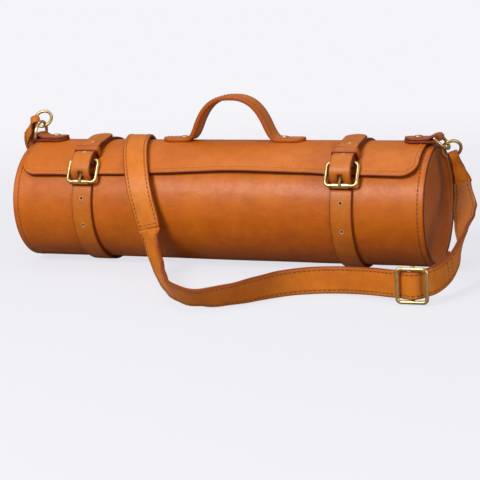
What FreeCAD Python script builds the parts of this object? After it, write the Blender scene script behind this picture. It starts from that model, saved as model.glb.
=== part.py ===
import FreeCAD, Part
import math
import os

import Sketcher
from FreeCAD import Placement, Rotation, Vector

# A round leather brush roll case: a stiff tube with a slot-like mouth, a flap that closes over it
# with two buckled straps, a riveted carrying handle, and a loose shoulder strap on rings.
# X runs along the tube, -Y is the buckled front, +Z is up and the case stands on Z = 0.
# An angle round the tube is counted from the top towards the front, in degrees.

SIZES = {
    # the tube and its ends
    "barrel_length": 440.0,
    "barrel_radius": 60.0,
    "barrel_wall": 3.2,
    "mouth_length": 412.0,
    "mouth_back_angle": -14.0,
    "mouth_front_angle": 46.0,
    "cap_wall": 3.0,
    "cap_recess": 4.0,
    "cap_flange": 3.0,
    "cap_clearance": 0.2,
    # the flap and the strip that carries it
    "flap_length": 424.0,
    "flap_wall": 3.2,
    "flap_clearance": 0.3,
    "flap_back_angle": -20.0,
    "flap_front_angle": 55.0,
    "flap_corner": 16.0,
    "anchor_back_angle": -45.0,
    "fold_clearance": 0.6,
    # the two closure straps
    "closure_offset": 139.0,
    "closure_width": 22.0,
    "closure_wall": 2.4,
    "layer_clearance": 0.2,
    "billet_start_angle": -47.0,
    "billet_end_angle": 66.6,
    "tail_start_angle": 66.0,
    "tail_end_angle": -5.0,
    "return_end_angle": 25.0,
    "hole_radius": 1.5,
    "hole_first_angle": 79.0,
    "hole_pitch_angle": 26.0,
    "keeper_angle": 33.0,
    "keeper_length": 8.0,
    "keeper_wall": 2.0,
    # the roller buckles
    "heel_angle": 44.0,
    "roller_angle": 64.0,
    "frame_width": 35.0,
    "frame_wire": 3.6,
    "roller_radius": 2.7,
    "roller_length": 17.0,
    "roller_clearance": 0.05,
    "prong_wire": 2.6,
    "buckle_clearance": 0.3,
    # the handle
    "handle_middle": 8.0,
    "handle_width": 21.0,
    "handle_wall": 4.4,
    "handle_span": 154.0,
    "handle_rise": 46.0,
    "handle_rivet_spacing": 110.0,
    # rivets
    "rivet_head_radius": 4.0,
    "rivet_head_height": 1.4,
    "rivet_shank_radius": 1.5,
    "rivet_clearance": 0.1,
    # ring tabs and rings
    "tab_fold_left": 212.5,
    "tab_fold_right": 221.0,
    "tab_length": 33.0,
    "tab_width": 20.0,
    "tab_wall": 2.4,
    "tab_rivet_inset": 19.0,
    "tab_side": 3.0,
    "ring_wire": 3.2,
    "dee_inner_width": 21.0,
    "dee_leg": 3.0,
    "round_ring_radius": 9.4,
    # the shoulder strap and its slider
    "strap_width": 25.0,
    "strap_wall": 3.0,
    "strap_loop_width": 9.0,
    "strap_loop_slack": 1.2,
    "strap_tongue": 20.0,
    "strap_end_wall": 2.2,
    "return_wall": 2.4,
    "strap_end_clearance": 2.4,
    "slider_width": 31.0,
    "slider_height": 34.0,
    "slider_wire": 3.6,
}

document = FreeCAD.newDocument("brush_roll_case")
sheet = document.addObject("Spreadsheet::Sheet", "Sizes")
for row, (alias, value) in enumerate(SIZES.items(), start=1):
    sheet.set(f"A{row}", alias)
    sheet.set(f"B{row}", str(value))
    sheet.setAlias(f"B{row}", alias)
document.recompute()


def size(expression):
    """A number worked out from the sheet's cells."""
    return float(sheet.evalExpression(expression))


pieces = {}


def piece(label, thing):
    """Register one sub-part under the name of its file."""
    thing.Label = label
    pieces[label] = thing
    return thing


def bind(thing, **expressions):
    """Tie properties of a document object to the sheet's cells."""
    for name, expression in expressions.items():
        for alias in sorted(SIZES, key=len, reverse=True):
            expression = expression.replace(alias, "@" + str(list(SIZES).index(alias)) + "@")
        for index, alias in enumerate(SIZES):
            expression = expression.replace(f"@{index}@", f"Sizes.{alias}")
        thing.setExpression(name.replace("_", "."), expression)
    return thing


def add(kind, name):
    return document.addObject(kind, name)


# Places round the tube

AXIS_HEIGHT = size("barrel_radius + layer_clearance + closure_wall")
FLAP_INNER = size("barrel_radius + flap_clearance")
FLAP_OUTER = size("barrel_radius + flap_clearance + flap_wall")
STRAP_INNER = FLAP_OUTER + size("layer_clearance")
STRAP_OUTER = STRAP_INNER + size("closure_wall")
HEEL_LOOP_INNER = size("frame_wire / 2 + buckle_clearance")
HEEL_LOOP_OUTER = HEEL_LOOP_INNER + size("closure_wall")
HEEL_RADIUS = STRAP_INNER + HEEL_LOOP_OUTER
BILLET_INNER = size("barrel_radius + layer_clearance")
BILLET_OUTER = BILLET_INNER + size("closure_wall")
ROLLER_RADIUS = BILLET_OUTER + size("buckle_clearance + roller_radius")
SIDES = {"left": -1, "right": 1}


def polar(angle, radius, x=0.0):
    """A point at an angle round the tube and a distance from its axis."""
    turn = math.radians(angle)
    return Vector(x, -radius * math.sin(turn), AXIS_HEIGHT + radius * math.cos(turn))


def outward(angle):
    turn = math.radians(angle)
    return Vector(0, -math.sin(turn), math.cos(turn))


def about_axis(x, start_angle=180.0):
    """Placement that lays a Z cylinder along +X, its own X axis pointing at an angle."""
    turn = Rotation(Vector(1, 0, 0), start_angle - 180.0) * Rotation(Vector(0, 1, 0), 90.0)
    return Placement(Vector(x, 0, AXIS_HEIGHT), turn)


def cylinder(name, radius, height, placement, angle=None):
    """A cylinder whose radius, height and sweep are tied to the sheet."""
    thing = add("Part::Cylinder", name)
    thing.Placement = placement
    bind(thing, Radius=radius, Height=height)
    if angle:
        bind(thing, Angle=angle)
    return thing


def cut(name, base, tool):
    thing = add("Part::Cut", name)
    thing.Base = base
    thing.Tool = tool
    return thing


def shell_sector(name, inner, outer, length, start, sweep, x):
    """Part of a tube wall, between two radii, from one angle through a sweep."""
    start_angle = size(start)
    whole = cylinder(name + "_whole", outer, length, about_axis(x, start_angle), sweep)
    core = cylinder(name + "_core", inner, length, about_axis(x, start_angle), sweep)
    return cut(name + "_shell", whole, core)


def feature(label, shape):
    """A leather or wire piece whose shape comes from a path, placed in the case's frame."""
    thing = add("Part::Feature", label + "_feature")
    thing.Shape = shape
    thing.Placement = Placement()
    return piece(label, thing)


# Shapes made from a path

def smooth(points):
    curve = Part.BSplineCurve()
    curve.interpolate(points)
    return curve


def band(points, wall, across, samples=60):
    """A strip of leather that follows a smooth path, of one wall and one width."""
    path = smooth(points)
    side = Vector(across).normalize()
    first, last = path.FirstParameter, path.LastParameter
    faces = {1: [], -1: []}
    for step in range(samples + 1):
        place = first + (last - first) * step / samples
        normal = path.tangent(place)[0].cross(side)
        for sign in faces:
            faces[sign].append(path.value(place) + normal * (sign * wall / 2))
    outer, inner = smooth(faces[1]), smooth(faces[-1])
    edges = [
        outer.toShape(),
        Part.makeLine(faces[1][-1], faces[-1][-1]),
        inner.toShape(),
        Part.makeLine(faces[-1][0], faces[1][0]),
    ]
    profile = Part.Face(Part.Wire(Part.__sortEdges__(edges)))
    profile.translate(Vector(across) * -0.5)
    return profile.extrude(Vector(across))


def tube_of(radius, wall, length, middle, axis):
    """A short open tube centred on a point."""
    base = Vector(middle) - Vector(axis).normalize() * (length / 2)
    whole = Part.makeCylinder(radius + wall, length, base, axis)
    return whole.cut(Part.makeCylinder(radius, length, base, axis))


def sector_solid(inner, outer, start_angle, end_angle, x, width):
    """A piece of ring round the tube's axis, centred on x."""
    middle_angle = (start_angle + end_angle) / 2
    edges = [
        Part.Arc(polar(start_angle, outer), polar(middle_angle, outer), polar(end_angle, outer)).toShape(),
        Part.makeLine(polar(end_angle, outer), polar(end_angle, inner)),
        Part.Arc(polar(end_angle, inner), polar(middle_angle, inner), polar(start_angle, inner)).toShape(),
        Part.makeLine(polar(start_angle, inner), polar(start_angle, outer)),
    ]
    face = Part.Face(Part.Wire(edges))
    face.translate(Vector(x - width / 2, 0, 0))
    return face.extrude(Vector(width, 0, 0))


def radial_pin(angle, x, radius, inner, outer):
    """A round bar that points away from the tube's axis."""
    return Part.makeCylinder(radius, outer - inner, polar(angle, inner, x), outward(angle))


# The tube

def back_rivet_angle():
    """Where each billet is riveted to the back of the tube."""
    return size("billet_start_angle") - 8.0


def make_barrel():
    """A leather tube with a long mouth cut through its top, towards the front."""
    half = size("barrel_length / 2")
    whole = cylinder("barrel_whole", "barrel_radius", "barrel_length", about_axis(-half))
    core = cylinder("barrel_core", "barrel_radius - barrel_wall", "barrel_length", about_axis(-half))
    wall = cut("barrel_wall_shell", whole, core)
    start = size("mouth_back_angle")
    mouth = cylinder(
        "mouth", "barrel_radius + 1", "mouth_length", about_axis(size("-mouth_length / 2"), start),
        "mouth_front_angle - mouth_back_angle",
    )
    open_tube = cut("open_tube", wall, mouth)
    holes = []
    for side, sign in SIDES.items():
        place = Placement(
            polar(back_rivet_angle(), size("barrel_radius - 2 * barrel_wall"), sign * size("closure_offset")),
            Rotation(Vector(1, 0, 0), back_rivet_angle()))
        holes.append(cylinder(
            f"rivet_hole_{side}", "rivet_shank_radius + rivet_clearance", "3 * barrel_wall", place))
    drill = add("Part::MultiFuse", "rivet_holes")
    drill.Shapes = holes
    piece("barrel_panel", cut("barrel", open_tube, drill))


def profile_sketch(body, role, points):
    """A closed outline on one of the body's own planes, each corner tied to the sheet."""
    plane = [face for face in body.Origin.OriginFeatures if face.Role == role][0]
    sketch = body.newObject("Sketcher::SketchObject", body.Name + "_outline")
    sketch.AttachmentSupport = (plane, [""])
    sketch.MapMode = "FlatFace"
    corners = [Vector(size(across), size(up), 0) for across, up in points]
    for index, corner in enumerate(corners):
        following = corners[(index + 1) % len(corners)]
        sketch.addGeometry(Part.LineSegment(corner, following), False)
    for index, (across, up) in enumerate(points):
        following = (index + 1) % len(points)
        sketch.addConstraint(Sketcher.Constraint("Coincident", index, 2, following, 1))
        for kind, expression in (("DistanceX", across), ("DistanceY", up)):
            number = sketch.addConstraint(
                Sketcher.Constraint(kind, -1, 1, index, 1, size(expression))
            )
            bind(sketch, **{f"Constraints[{number}]": expression})
    return sketch


def revolved_body(name, points, placement):
    """A turned body: its outline lies beside the local Z axis."""
    body = add("PartDesign::Body", name)
    sketch = profile_sketch(body, "XZ_Plane", points)
    turned = body.newObject("PartDesign::Revolution", name + "_turned")
    turned.Profile = sketch
    turned.ReferenceAxis = (sketch, ["V_Axis"])
    turned.Angle = 360.0
    body.Placement = placement
    return body


def make_end_caps():
    """Dished leather ends: a disc set back from the rim, with a flange turned outwards."""
    outer = "barrel_radius - barrel_wall - cap_clearance"
    outline = [
        ("0.0", "0.0"),
        (outer, "0.0"),
        (outer, "cap_wall + cap_recess"),
        (outer + " - cap_flange", "cap_wall + cap_recess"),
        (outer + " - cap_flange", "cap_wall"),
        ("0.0", "cap_wall"),
    ]
    inset = size("barrel_length / 2 - cap_wall - cap_recess")
    for side, sign in SIDES.items():
        turn = Rotation(Vector(0, 1, 0), 90.0 * sign)
        place = Placement(Vector(sign * inset, 0, AXIS_HEIGHT), turn)
        piece(f"end_cap_{side}", revolved_body(f"end_cap_{side}_body", outline, place))


# The flap

def make_flap():
    """The moving flap: a piece of tube wall with rounded front corners and rivet holes."""
    inner = "barrel_radius + flap_clearance"
    shell = shell_sector(
        "flap", inner, inner + " + flap_wall", "flap_length",
        "flap_back_angle", "flap_front_angle - flap_back_angle", size("-flap_length / 2"),
    )
    corner, reach = size("flap_corner"), size("barrel_radius")
    front_angle = size("flap_front_angle")
    half = size("flap_length / 2")
    # the corner blanks look straight at the flap's front edge
    facing = Rotation(Vector(1, 0, 0), front_angle - 12.0)
    edge = facing.inverted().multVec(polar(front_angle, FLAP_OUTER) - Vector(0, 0, AXIS_HEIGHT)).y
    blanks = []
    for sign in SIDES.values():
        low = -half - 1 if sign < 0 else half - corner
        blank = Part.makeBox(corner + 1, corner + 1, reach, Vector(low, edge - 1, reach * 0.5))
        round_tool = Part.makeCylinder(
            corner, reach * 2, Vector(sign * (half - corner), edge + corner, reach * 0.25)
        )
        blank = blank.cut(round_tool)
        blank.Placement = Placement(Vector(0, 0, AXIS_HEIGHT), facing)
        blanks.append(blank)
    for x in handle_rivet_places():
        blanks.append(radial_pin(0.0, x, size("rivet_shank_radius + rivet_clearance"), reach - 4, reach + 9))
    for side, sign in SIDES.items():
        hole = Part.makeCylinder(
            size("rivet_shank_radius + rivet_clearance"), reach,
            Vector(tab_rivet_place(side, sign), -size("tab_side"), AXIS_HEIGHT + reach * 0.5),
        )
        blanks.append(hole)
    tool = add("Part::Feature", "flap_trim")
    tool.Shape = Part.makeCompound(blanks)
    piece("flap", cut("flap_trimmed", shell, tool))


def make_anchor():
    """The strip behind the fold, sewn to the tube, that the flap hangs from."""
    inner = "barrel_radius + flap_clearance"
    start = "anchor_back_angle"
    gap_angle = "fold_clearance / barrel_radius * 57.3"
    sweep = f"flap_back_angle - anchor_back_angle - {gap_angle}"
    piece("flap_anchor", shell_sector(
        "anchor", inner, inner + " + flap_wall", "flap_length", start, sweep,
        size("-flap_length / 2"),
    ))


# The closure straps and their buckles

def prong_shape(x):
    """The prong: an eye round the heel bar and a bar that rests on the roller."""
    wire = size("prong_wire")
    heel = polar(size("heel_angle"), HEEL_RADIUS, x)
    eye_inner = size("frame_wire / 2") + 0.1
    rest = polar(size("roller_angle"), ROLLER_RADIUS + size("roller_radius") + wire / 2 + 0.1, x)
    along = (rest - heel).normalize()
    length = (rest - heel).Length + size("roller_radius") * 0.6
    eye = tube_of(eye_inner, 1.3, wire, heel, Vector(1, 0, 0))
    bar = Part.makeCylinder(wire / 2, length - eye_inner - 0.5, heel + along * (eye_inner + 0.5), along)
    return eye.fuse(bar)


def prong_slot(x, width, lift=13.0):
    """The room that the prong sweeps through when it lifts."""
    heel = polar(size("heel_angle"), HEEL_RADIUS, x)
    rest = polar(size("roller_angle"), ROLLER_RADIUS + size("roller_radius"), x)
    along = (rest - heel).normalize()
    up = Vector(1, 0, 0).cross(along)
    if up.z < 0:
        up = up * -1
    reach = (rest - heel).Length * 0.75
    rise = reach * math.tan(math.radians(lift)) + size("prong_wire")
    corner = heel - up * size("prong_wire") - Vector(width / 2, 0, 0)
    face = Part.Face(Part.makePolygon([
        corner, corner + along * reach, corner + along * reach + up * (rise + size("prong_wire")),
        corner + up * (2.4 * size("prong_wire")), corner,
    ]))
    return face.extrude(Vector(width, 0, 0))


def tail_points():
    """Middle line of the threaded end: under the roller, over the heel, back along the top."""
    middle = BILLET_INNER + size("closure_wall / 2")
    above_loop = HEEL_RADIUS + HEEL_LOOP_OUTER + size("buckle_clearance + closure_wall / 2")
    on_return = STRAP_OUTER + size("closure_wall * 1.5 + layer_clearance")
    on_strap = STRAP_OUTER + size("closure_wall / 2 + layer_clearance")
    start, heel = size("tail_start_angle"), size("heel_angle")
    end, fold_end = size("tail_end_angle"), size("return_end_angle")
    middle_angle = (start + heel) / 2
    # the rise from under the roller to over the heel crosses the flap's edge
    stations = [
        (start, middle), (start - 3.2, middle), (start - 6.2, middle + 1.3),
        (middle_angle + 1.5, middle + 4.4), (middle_angle - 2.5, middle + 8.4),
        (heel + 4.2, above_loop - 1.2), (heel, above_loop), (heel - 4.2, above_loop - 0.9),
        (heel - 9.0, on_return + 0.7), (heel - 13.0, on_return + 0.3), (fold_end + 1.0, on_return + 0.2),
        (fold_end - 4.5, on_strap + 1.5), (fold_end - 9.5, on_strap + 0.3),
        ((fold_end - 9.5 + end) / 2, on_strap + 0.2), (end, on_strap + 0.9),
    ]
    return stations


def make_closure(side, sign):
    """One closure: strap on the flap, root behind the fold, billet, threaded tail and keeper."""
    x = sign * size("closure_offset")
    width, wall = size("closure_width"), size("closure_wall")
    heel, end = size("heel_angle"), size("return_end_angle")
    back = size("flap_back_angle") + 1.0
    heel_place = polar(heel, HEEL_RADIUS, x)
    # the strap on the flap folds round the heel bar and comes back over itself
    strap = sector_solid(STRAP_INNER, STRAP_OUTER, back, heel, x, width)
    loop = Part.makeCylinder(HEEL_LOOP_OUTER, width, heel_place - Vector(width / 2, 0, 0), Vector(1, 0, 0))
    strap = strap.fuse(loop)
    strap = strap.fuse(sector_solid(STRAP_OUTER - 0.05, STRAP_OUTER + wall, end, heel - 2.5, x, width))
    strap = strap.cut(Part.makeCylinder(
        HEEL_LOOP_INNER, width + 2, heel_place - Vector(width / 2 + 1, 0, 0), Vector(1, 0, 0)))
    slot_width = size("prong_wire + 2 * buckle_clearance + 0.4")
    slot = Part.makeBox(
        slot_width, HEEL_LOOP_OUTER * 2 + 3, HEEL_LOOP_OUTER * 3,
        Vector(-slot_width / 2, -HEEL_LOOP_OUTER - 2, -HEEL_LOOP_OUTER - 1),
    )
    slot.Placement = Placement(heel_place, Rotation(Vector(1, 0, 0), heel))
    strap = strap.cut(slot)
    feature(f"buckle_strap_{side}", strap.removeSplitter())
    root_front = size("flap_back_angle") - math.degrees(size("fold_clearance") / FLAP_INNER)
    root = sector_solid(STRAP_INNER, STRAP_OUTER, size("anchor_back_angle"), root_front, x, width)
    feature(f"buckle_strap_root_{side}", root)
    # the billet runs from the back, under the tube and up the front to the roller
    first, pitch = size("hole_first_angle"), size("hole_pitch_angle")
    billet = sector_solid(
        BILLET_INNER, BILLET_OUTER, size("billet_end_angle"), 360.0 + size("billet_start_angle"), x, width)
    hole = size("hole_radius")
    for number in range(2):
        billet = billet.cut(radial_pin(first + number * pitch, x, hole, BILLET_INNER - 1, BILLET_OUTER + 1))
    billet = billet.cut(radial_pin(
        back_rivet_angle(), x, size("rivet_shank_radius + rivet_clearance"), BILLET_INNER - 1, BILLET_OUTER + 1))
    feature(f"billet_{side}", billet)
    # the threaded tail rides with the flap
    points = [polar(angle, radius, x) for angle, radius in tail_points()]
    tail = band(points, wall, Vector(width, 0, 0), samples=90)
    tail = tail.cut(prong_slot(x, size("prong_wire + 2 * buckle_clearance")))
    tip_y = polar(size("tail_end_angle"), STRAP_OUTER).y
    tail = tail.common(tip_blank(x, tip_y + 0.6, width))
    top_hole = end - 2.0
    tail = tail.cut(radial_pin(top_hole, x, hole, STRAP_OUTER, STRAP_OUTER + 9))
    feature(f"billet_tail_{side}", tail)
    make_keeper(side, x)
    make_buckle(side, x)


def tip_blank(x, tip_y, width):
    """Everything in front of a half-round tip, seen from above."""
    radius = width / 2
    depth = size("barrel_radius * 2")
    block = Part.makeBox(width + 2, depth, 400.0, Vector(x - radius - 1, tip_y - radius - depth, -50))
    cap = Part.makeCylinder(radius + 0.01, 400.0, Vector(x, tip_y - radius, -50))
    return block.fuse(cap)


def make_keeper(side, x):
    """A loop that straddles the strap and holds the tail down."""
    wall, gap = size("keeper_wall"), size("layer_clearance")
    inside = size("closure_width") / 2 + gap
    top = STRAP_OUTER + size("closure_wall * 2 + layer_clearance * 2") + 1.7
    half_angle = math.degrees(size("keeper_length") / 2 / STRAP_OUTER)
    start, end = size("keeper_angle") - half_angle, size("keeper_angle") + half_angle
    whole = sector_solid(STRAP_INNER, top + wall, start, end, x, 2 * (inside + wall))
    hollow = sector_solid(STRAP_INNER - 1, top, start - 2, end + 2, x, 2 * inside)
    feature(f"keeper_{side}", whole.cut(hollow))


def make_buckle(side, x):
    """A roller buckle: a bent wire frame, the roller on its front bar and the prong."""
    heel = polar(size("heel_angle"), HEEL_RADIUS, x)
    front = polar(size("roller_angle"), ROLLER_RADIUS, x)
    wire = size("frame_wire")
    half = size("frame_width / 2 - frame_wire / 2")
    corner = wire * 1.1
    across, along = Vector(1, 0, 0), (front - heel).normalize()
    length = (front - heel).Length
    core = size("roller_radius - 1.1")
    waist = size("roller_length / 2") + 0.25
    ends = {"heel": heel, "front": front}
    frame = Part.makeCylinder(wire / 2, 2 * half - 2 * corner, heel - across * (half - corner), across)
    for sign in (-1, 1):
        side_start = heel + across * (sign * half) + along * corner
        frame = frame.fuse(Part.makeCylinder(wire / 2, length - 2 * corner, side_start, along))
        stub = ends["front"] + across * (sign * waist if sign > 0 else -(half - corner))
        frame = frame.fuse(Part.makeCylinder(wire / 2, half - corner - waist, stub, across))
        for end, inward in (("heel", 1), ("front", -1)):
            middle = ends[end] + across * (sign * (half - corner)) + along * (inward * corner)
            start = middle + across * (sign * corner)
            finish = middle - along * (inward * corner)
            bend = middle + (across * sign - along * inward).normalize() * corner
            path = Part.Wire(Part.Arc(start, bend, finish).toShape())
            disc = Part.Wire(Part.makeCircle(wire / 2, start, along))
            frame = frame.fuse(path.makePipeShell([disc], True, True))
    frame = frame.fuse(Part.makeCylinder(core, 2 * waist, front - across * waist, across))
    feature(f"buckle_frame_{side}", frame.removeSplitter())
    roller = tube_of(
        core + size("roller_clearance"), size("roller_radius") - core - size("roller_clearance"),
        size("roller_length"), front, across)
    feature(f"buckle_roller_{side}", roller)
    feature(f"buckle_prong_{side}", prong_shape(x))


# Rivets

def rivet(name, low, high, direction_place):
    """A tubular rivet from a low seat to a high seat, turned about local Z."""
    shank = "rivet_shank_radius"
    head = "rivet_head_radius"
    top = str(round(high - low, 4))
    thin = "1.0"
    outline = [("0.0", f"0.0 - {thin}"), (f"{head} - 0.8", f"0.0 - {thin}"), (f"{head} - 0.8", "0.0"),
               (shank, "0.0"), (shank, top), (head, top), (head, f"{top} + rivet_head_height * 0.45"),
               (f"{head} * 0.62", f"{top} + rivet_head_height"), ("0.0", f"{top} + rivet_head_height")]
    return revolved_body(name, outline, direction_place)


def handle_rivet_places():
    middle, spacing = size("handle_middle"), size("handle_rivet_spacing")
    return [middle - spacing / 2, middle + spacing / 2]


def make_handle():
    """A bent strap with two flat feet, riveted to the flap."""
    wall, width = size("handle_wall"), size("handle_width")
    middle, span, rise = size("handle_middle"), size("handle_span / 2"), size("handle_rise")
    base = AXIS_HEIGHT + FLAP_OUTER + size("layer_clearance") + wall / 2
    half = [(0.0, 1.0), (11.0, 0.975), (21.0, 0.87), (29.0, 0.69), (35.0, 0.46),
            (40.0, 0.2), (44.0, 0.06), (47.5, 0.01), (52.0, 0.0), (60.0, 0.0), (68.0, 0.0), (span, 0.0)]
    points = [Vector(middle - across, 0, base + up * (rise - wall)) for across, up in reversed(half)]
    points += [Vector(middle + across, 0, base + up * (rise - wall)) for across, up in half[1:]]
    strap = band(points, wall, Vector(0, width, 0), samples=120)
    outline = Part.makeBox(2 * span - width, width, 400.0, Vector(middle - span + width / 2, -width / 2, 0))
    for sign in (-1, 1):
        tip = Vector(middle + sign * (span - width / 2), 0, 0)
        outline = outline.fuse(Part.makeCylinder(width / 2, 400.0, tip))
    strap = strap.common(outline.removeSplitter())
    low, high = FLAP_INNER + AXIS_HEIGHT - 0.2, base + wall / 2 + 0.15
    bodies = []
    for number, x in enumerate(handle_rivet_places()):
        strap = strap.cut(radial_pin(0.0, x, size("rivet_shank_radius + rivet_clearance"), 60.0, 80.0))
        place = Placement(Vector(x, 0, low), Rotation())
        bodies.append(rivet(f"handle_rivet_{number}", low, high, place))
    feature("handle", strap)
    group = add("Part::Compound", "handle_rivet_pair")
    group.Links = bodies
    piece("handle_rivets", group)


def make_back_rivets():
    """One rivet through each billet, at the back of the tube."""
    angle = back_rivet_angle()
    low, high = size("barrel_radius - barrel_wall") - 0.15, BILLET_OUTER + 0.15
    for side, sign in SIDES.items():
        place = Placement(polar(angle, low, sign * size("closure_offset")), Rotation(Vector(1, 0, 0), angle))
        piece(f"billet_rivet_{side}", rivet(f"billet_rivet_{side}_body", low, high, place))


# Ring tabs and rings

def tab_base():
    return AXIS_HEIGHT + FLAP_OUTER + size("layer_clearance")


def tab_rivet_place(side, sign):
    return sign * size(f"tab_fold_{side} - tab_rivet_inset")


def make_tab(side, sign):
    """A short leather tab, folded round a ring's bar and riveted through the flap."""
    wall, width = size("tab_wall"), size("tab_width")
    fold, tip = size(f"tab_fold_{side}"), size(f"tab_fold_{side} - tab_length")
    inner = size("ring_wire / 2 + buckle_clearance")
    middle = Vector(sign * fold, -size("tab_side"), tab_base() + inner + wall)
    base = Vector(min(sign * tip, sign * fold), middle.y - width / 2, tab_base())
    tab = Part.makeBox(fold - tip, width, 2 * wall, base)
    blank = Part.makeBox(fold - tip, width, 2 * wall, base + Vector(sign * width / 2, 0, 0))
    round_tip = Part.makeCylinder(
        width / 2, 2 * wall, Vector(sign * (tip + width / 2), middle.y, tab_base()))
    tab = tab.common(blank.fuse(round_tip))
    across = Vector(0, width / 2, 0)
    tab = tab.fuse(Part.makeCylinder(inner + wall, width, middle - across, Vector(0, 1, 0)))
    tab = tab.cut(Part.makeCylinder(inner, width + 2, middle - across - Vector(0, 1, 0), Vector(0, 1, 0)))
    rivet_x = tab_rivet_place(side, sign)
    hole = Part.makeCylinder(
        size("rivet_shank_radius + rivet_clearance"), 60.0, Vector(rivet_x, middle.y, tab_base() - 30))
    feature(f"ring_tab_{side}", tab.cut(hole))
    low = AXIS_HEIGHT + size("barrel_radius") - 0.2
    place = Placement(Vector(rivet_x, middle.y, low), Rotation())
    piece(f"tab_rivet_{side}", rivet(f"tab_rivet_{side}_body", low, tab_base() + 2 * wall, place))
    return middle


def dee_shape():
    """A dee ring about its own bar: the bar along Y, the bow towards +X."""
    wire = size("ring_wire / 2")
    radius = size("dee_inner_width / 2 + ring_wire / 2")
    leg = size("dee_leg")
    bar = Part.makeCylinder(wire, 2 * radius, Vector(0, -radius, 0), Vector(0, 1, 0))
    shape = bar
    for sign in (-1, 1):
        corner = Vector(0, sign * radius, 0)
        shape = shape.fuse(Part.makeSphere(wire, corner))
        shape = shape.fuse(Part.makeCylinder(wire, leg, corner, Vector(1, 0, 0)))
    bow = Part.makeTorus(radius, wire, Vector(leg, 0, 0), Vector(0, 0, 1), 0, 360, 180)
    bow.rotate(Vector(leg, 0, 0), Vector(0, 0, 1), -90)
    return shape.fuse(bow).removeSplitter()


DEE_TILT = {"left": 97.0, "right": -46.0}
RING_TURN = {"left": (-38.0, 30.0), "right": (38.0, 12.0)}


def make_rings(side, sign, bar):
    """A dee ring in the tab and a round ring linked through its bow."""
    tilt = DEE_TILT[side]
    flip = Rotation(Vector(0, 0, 1), 0.0 if sign > 0 else 180.0)
    turn = flip * Rotation(Vector(0, 1, 0), -tilt)
    dee = add("Part::Feature", f"dee_ring_{side}_feature")
    dee.Shape = dee_shape()
    dee.Placement = Placement(bar, turn)
    piece(f"dee_ring_{side}", dee)
    # the round ring hangs inside the bow, its plane square to the bow's wire there
    swing, lean = RING_TURN[side]
    spread = math.radians(swing)
    inside = size("dee_inner_width / 2")
    contact = Vector(size("dee_leg") + inside * math.cos(spread), inside * math.sin(spread), 0)
    contact_world = bar + turn.multVec(contact)
    away = turn.multVec(Vector(math.cos(spread), math.sin(spread), 0))
    pivot = contact_world + away * size("ring_wire / 2")
    wire_line = turn.multVec(Vector(-math.sin(spread), math.cos(spread), 0))
    away = Rotation(wire_line, lean).multVec(away)
    ring = add("Part::Torus", f"round_ring_{side}_torus")
    bind(ring, Radius1="round_ring_radius", Radius2="ring_wire / 2")
    offset = size("round_ring_radius - ring_wire / 2") - 0.6
    middle = contact_world + away * offset
    ring.Placement = Placement(middle, Rotation(Vector(0, 0, 1), wire_line))
    piece(f"round_ring_{side}", ring)
    return {"middle": middle, "axis": wire_line, "pivot": pivot}


# The shoulder strap

# the way that each end of the strap leaves its ring
STRAP_END_WAY = {"left": (-0.6, 0.55, -0.7), "right": (0.18, 0.38, -0.9)}

ROUTE = [
    # place, and the way that the strap's width points
    ((-231.0, 24.0, 124.0), (1, -1, 1)),
    ((-237.0, 50.0, 98.0), (1, 0, 0.2)),
    ((-236.0, 72.0, 60.0), (1, 0, 0)),
    ((-224.0, 90.0, 26.0), (0.8, 0, 0.6)),
    ((-196.0, 106.0, 14.0), (0, 0, 1)),
    ((-164.0, 112.0, 14.0), (0, 0, 1)),
    ((-138.0, 98.0, 20.0), (0.5, 0, 0.9)),
    ((-126.0, 80.0, 46.0), (1, 0, 0.3)),
    ((-119.0, 69.0, 78.0), (1, 0, 0)),
    ((-112.0, 49.0, 108.0), (1, 0, 0)),
    ((-105.0, 24.0, 124.2), (1, 0, 0)),
    ((-97.0, -4.0, 129.0), (1, 0, 0)),
    ((-88.0, -32.0, 120.6), (1, 0, 0)),
    ((-78.0, -53.0, 103.0), (1, 0, 0)),
    ((-70.0, -65.5, 82.0), (1, 0, 0)),
    ((-62.0, -69.0, 58.0), (1, 0, 0)),
    ((-58.0, -71.0, 35.0), (1, 0, -0.15)),
    ((-53.0, -84.0, 18.5), (0.9, 0.5, 0.3)),
    ((-38.0, -115.0, 12.5), (0.5, 0.35, 0.8)),
    ((-14.0, -155.0, 12.5), (0.15, 0.1, 1)),
    ((14.0, -191.0, 12.5), (0, 0.1, 1)),
    ((46.0, -210.0, 12.5), (0, 0.2, 1)),
    ((72.0, -196.0, 12.5), (0, 0.1, 1)),
    ((88.0, -166.0, 12.8), (0, 0, 1)),
    ((106.0, -138.0, 13.0), (0, 0, 1)),
    ((132.0, -122.0, 13.0), (0, 0, 1)),
    ((162.0, -121.0, 14.0), (0, 0, 1)),
    ((190.0, -132.0, 16.5), (0, 0, 1)),
    ((212.0, -142.0, 17.5), (0, 0, 1)),
    ((232.0, -146.0, 17.5), (0, 0, 1)),
    ((247.0, -138.0, 18.5), (0, 0, 1)),
    ((256.0, -112.0, 23.0), (0, 0, 1)),
    ((259.0, -80.0, 31.0), (0, 0, 1)),
    ((260.0, -46.0, 41.0), (0, 0, 1)),
    ((257.0, -16.0, 53.0), (0, 0, 1)),
    ((249.0, 8.0, 66.0), (0, -0.3, 1)),
    ((241.0, 20.0, 80.0), (0.5, -0.8, 0.5)),
]
SLIDER_STATION = 29
RETURN_SPAN = (30, 33)
SAMPLES_PER_SPAN = 6


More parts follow.
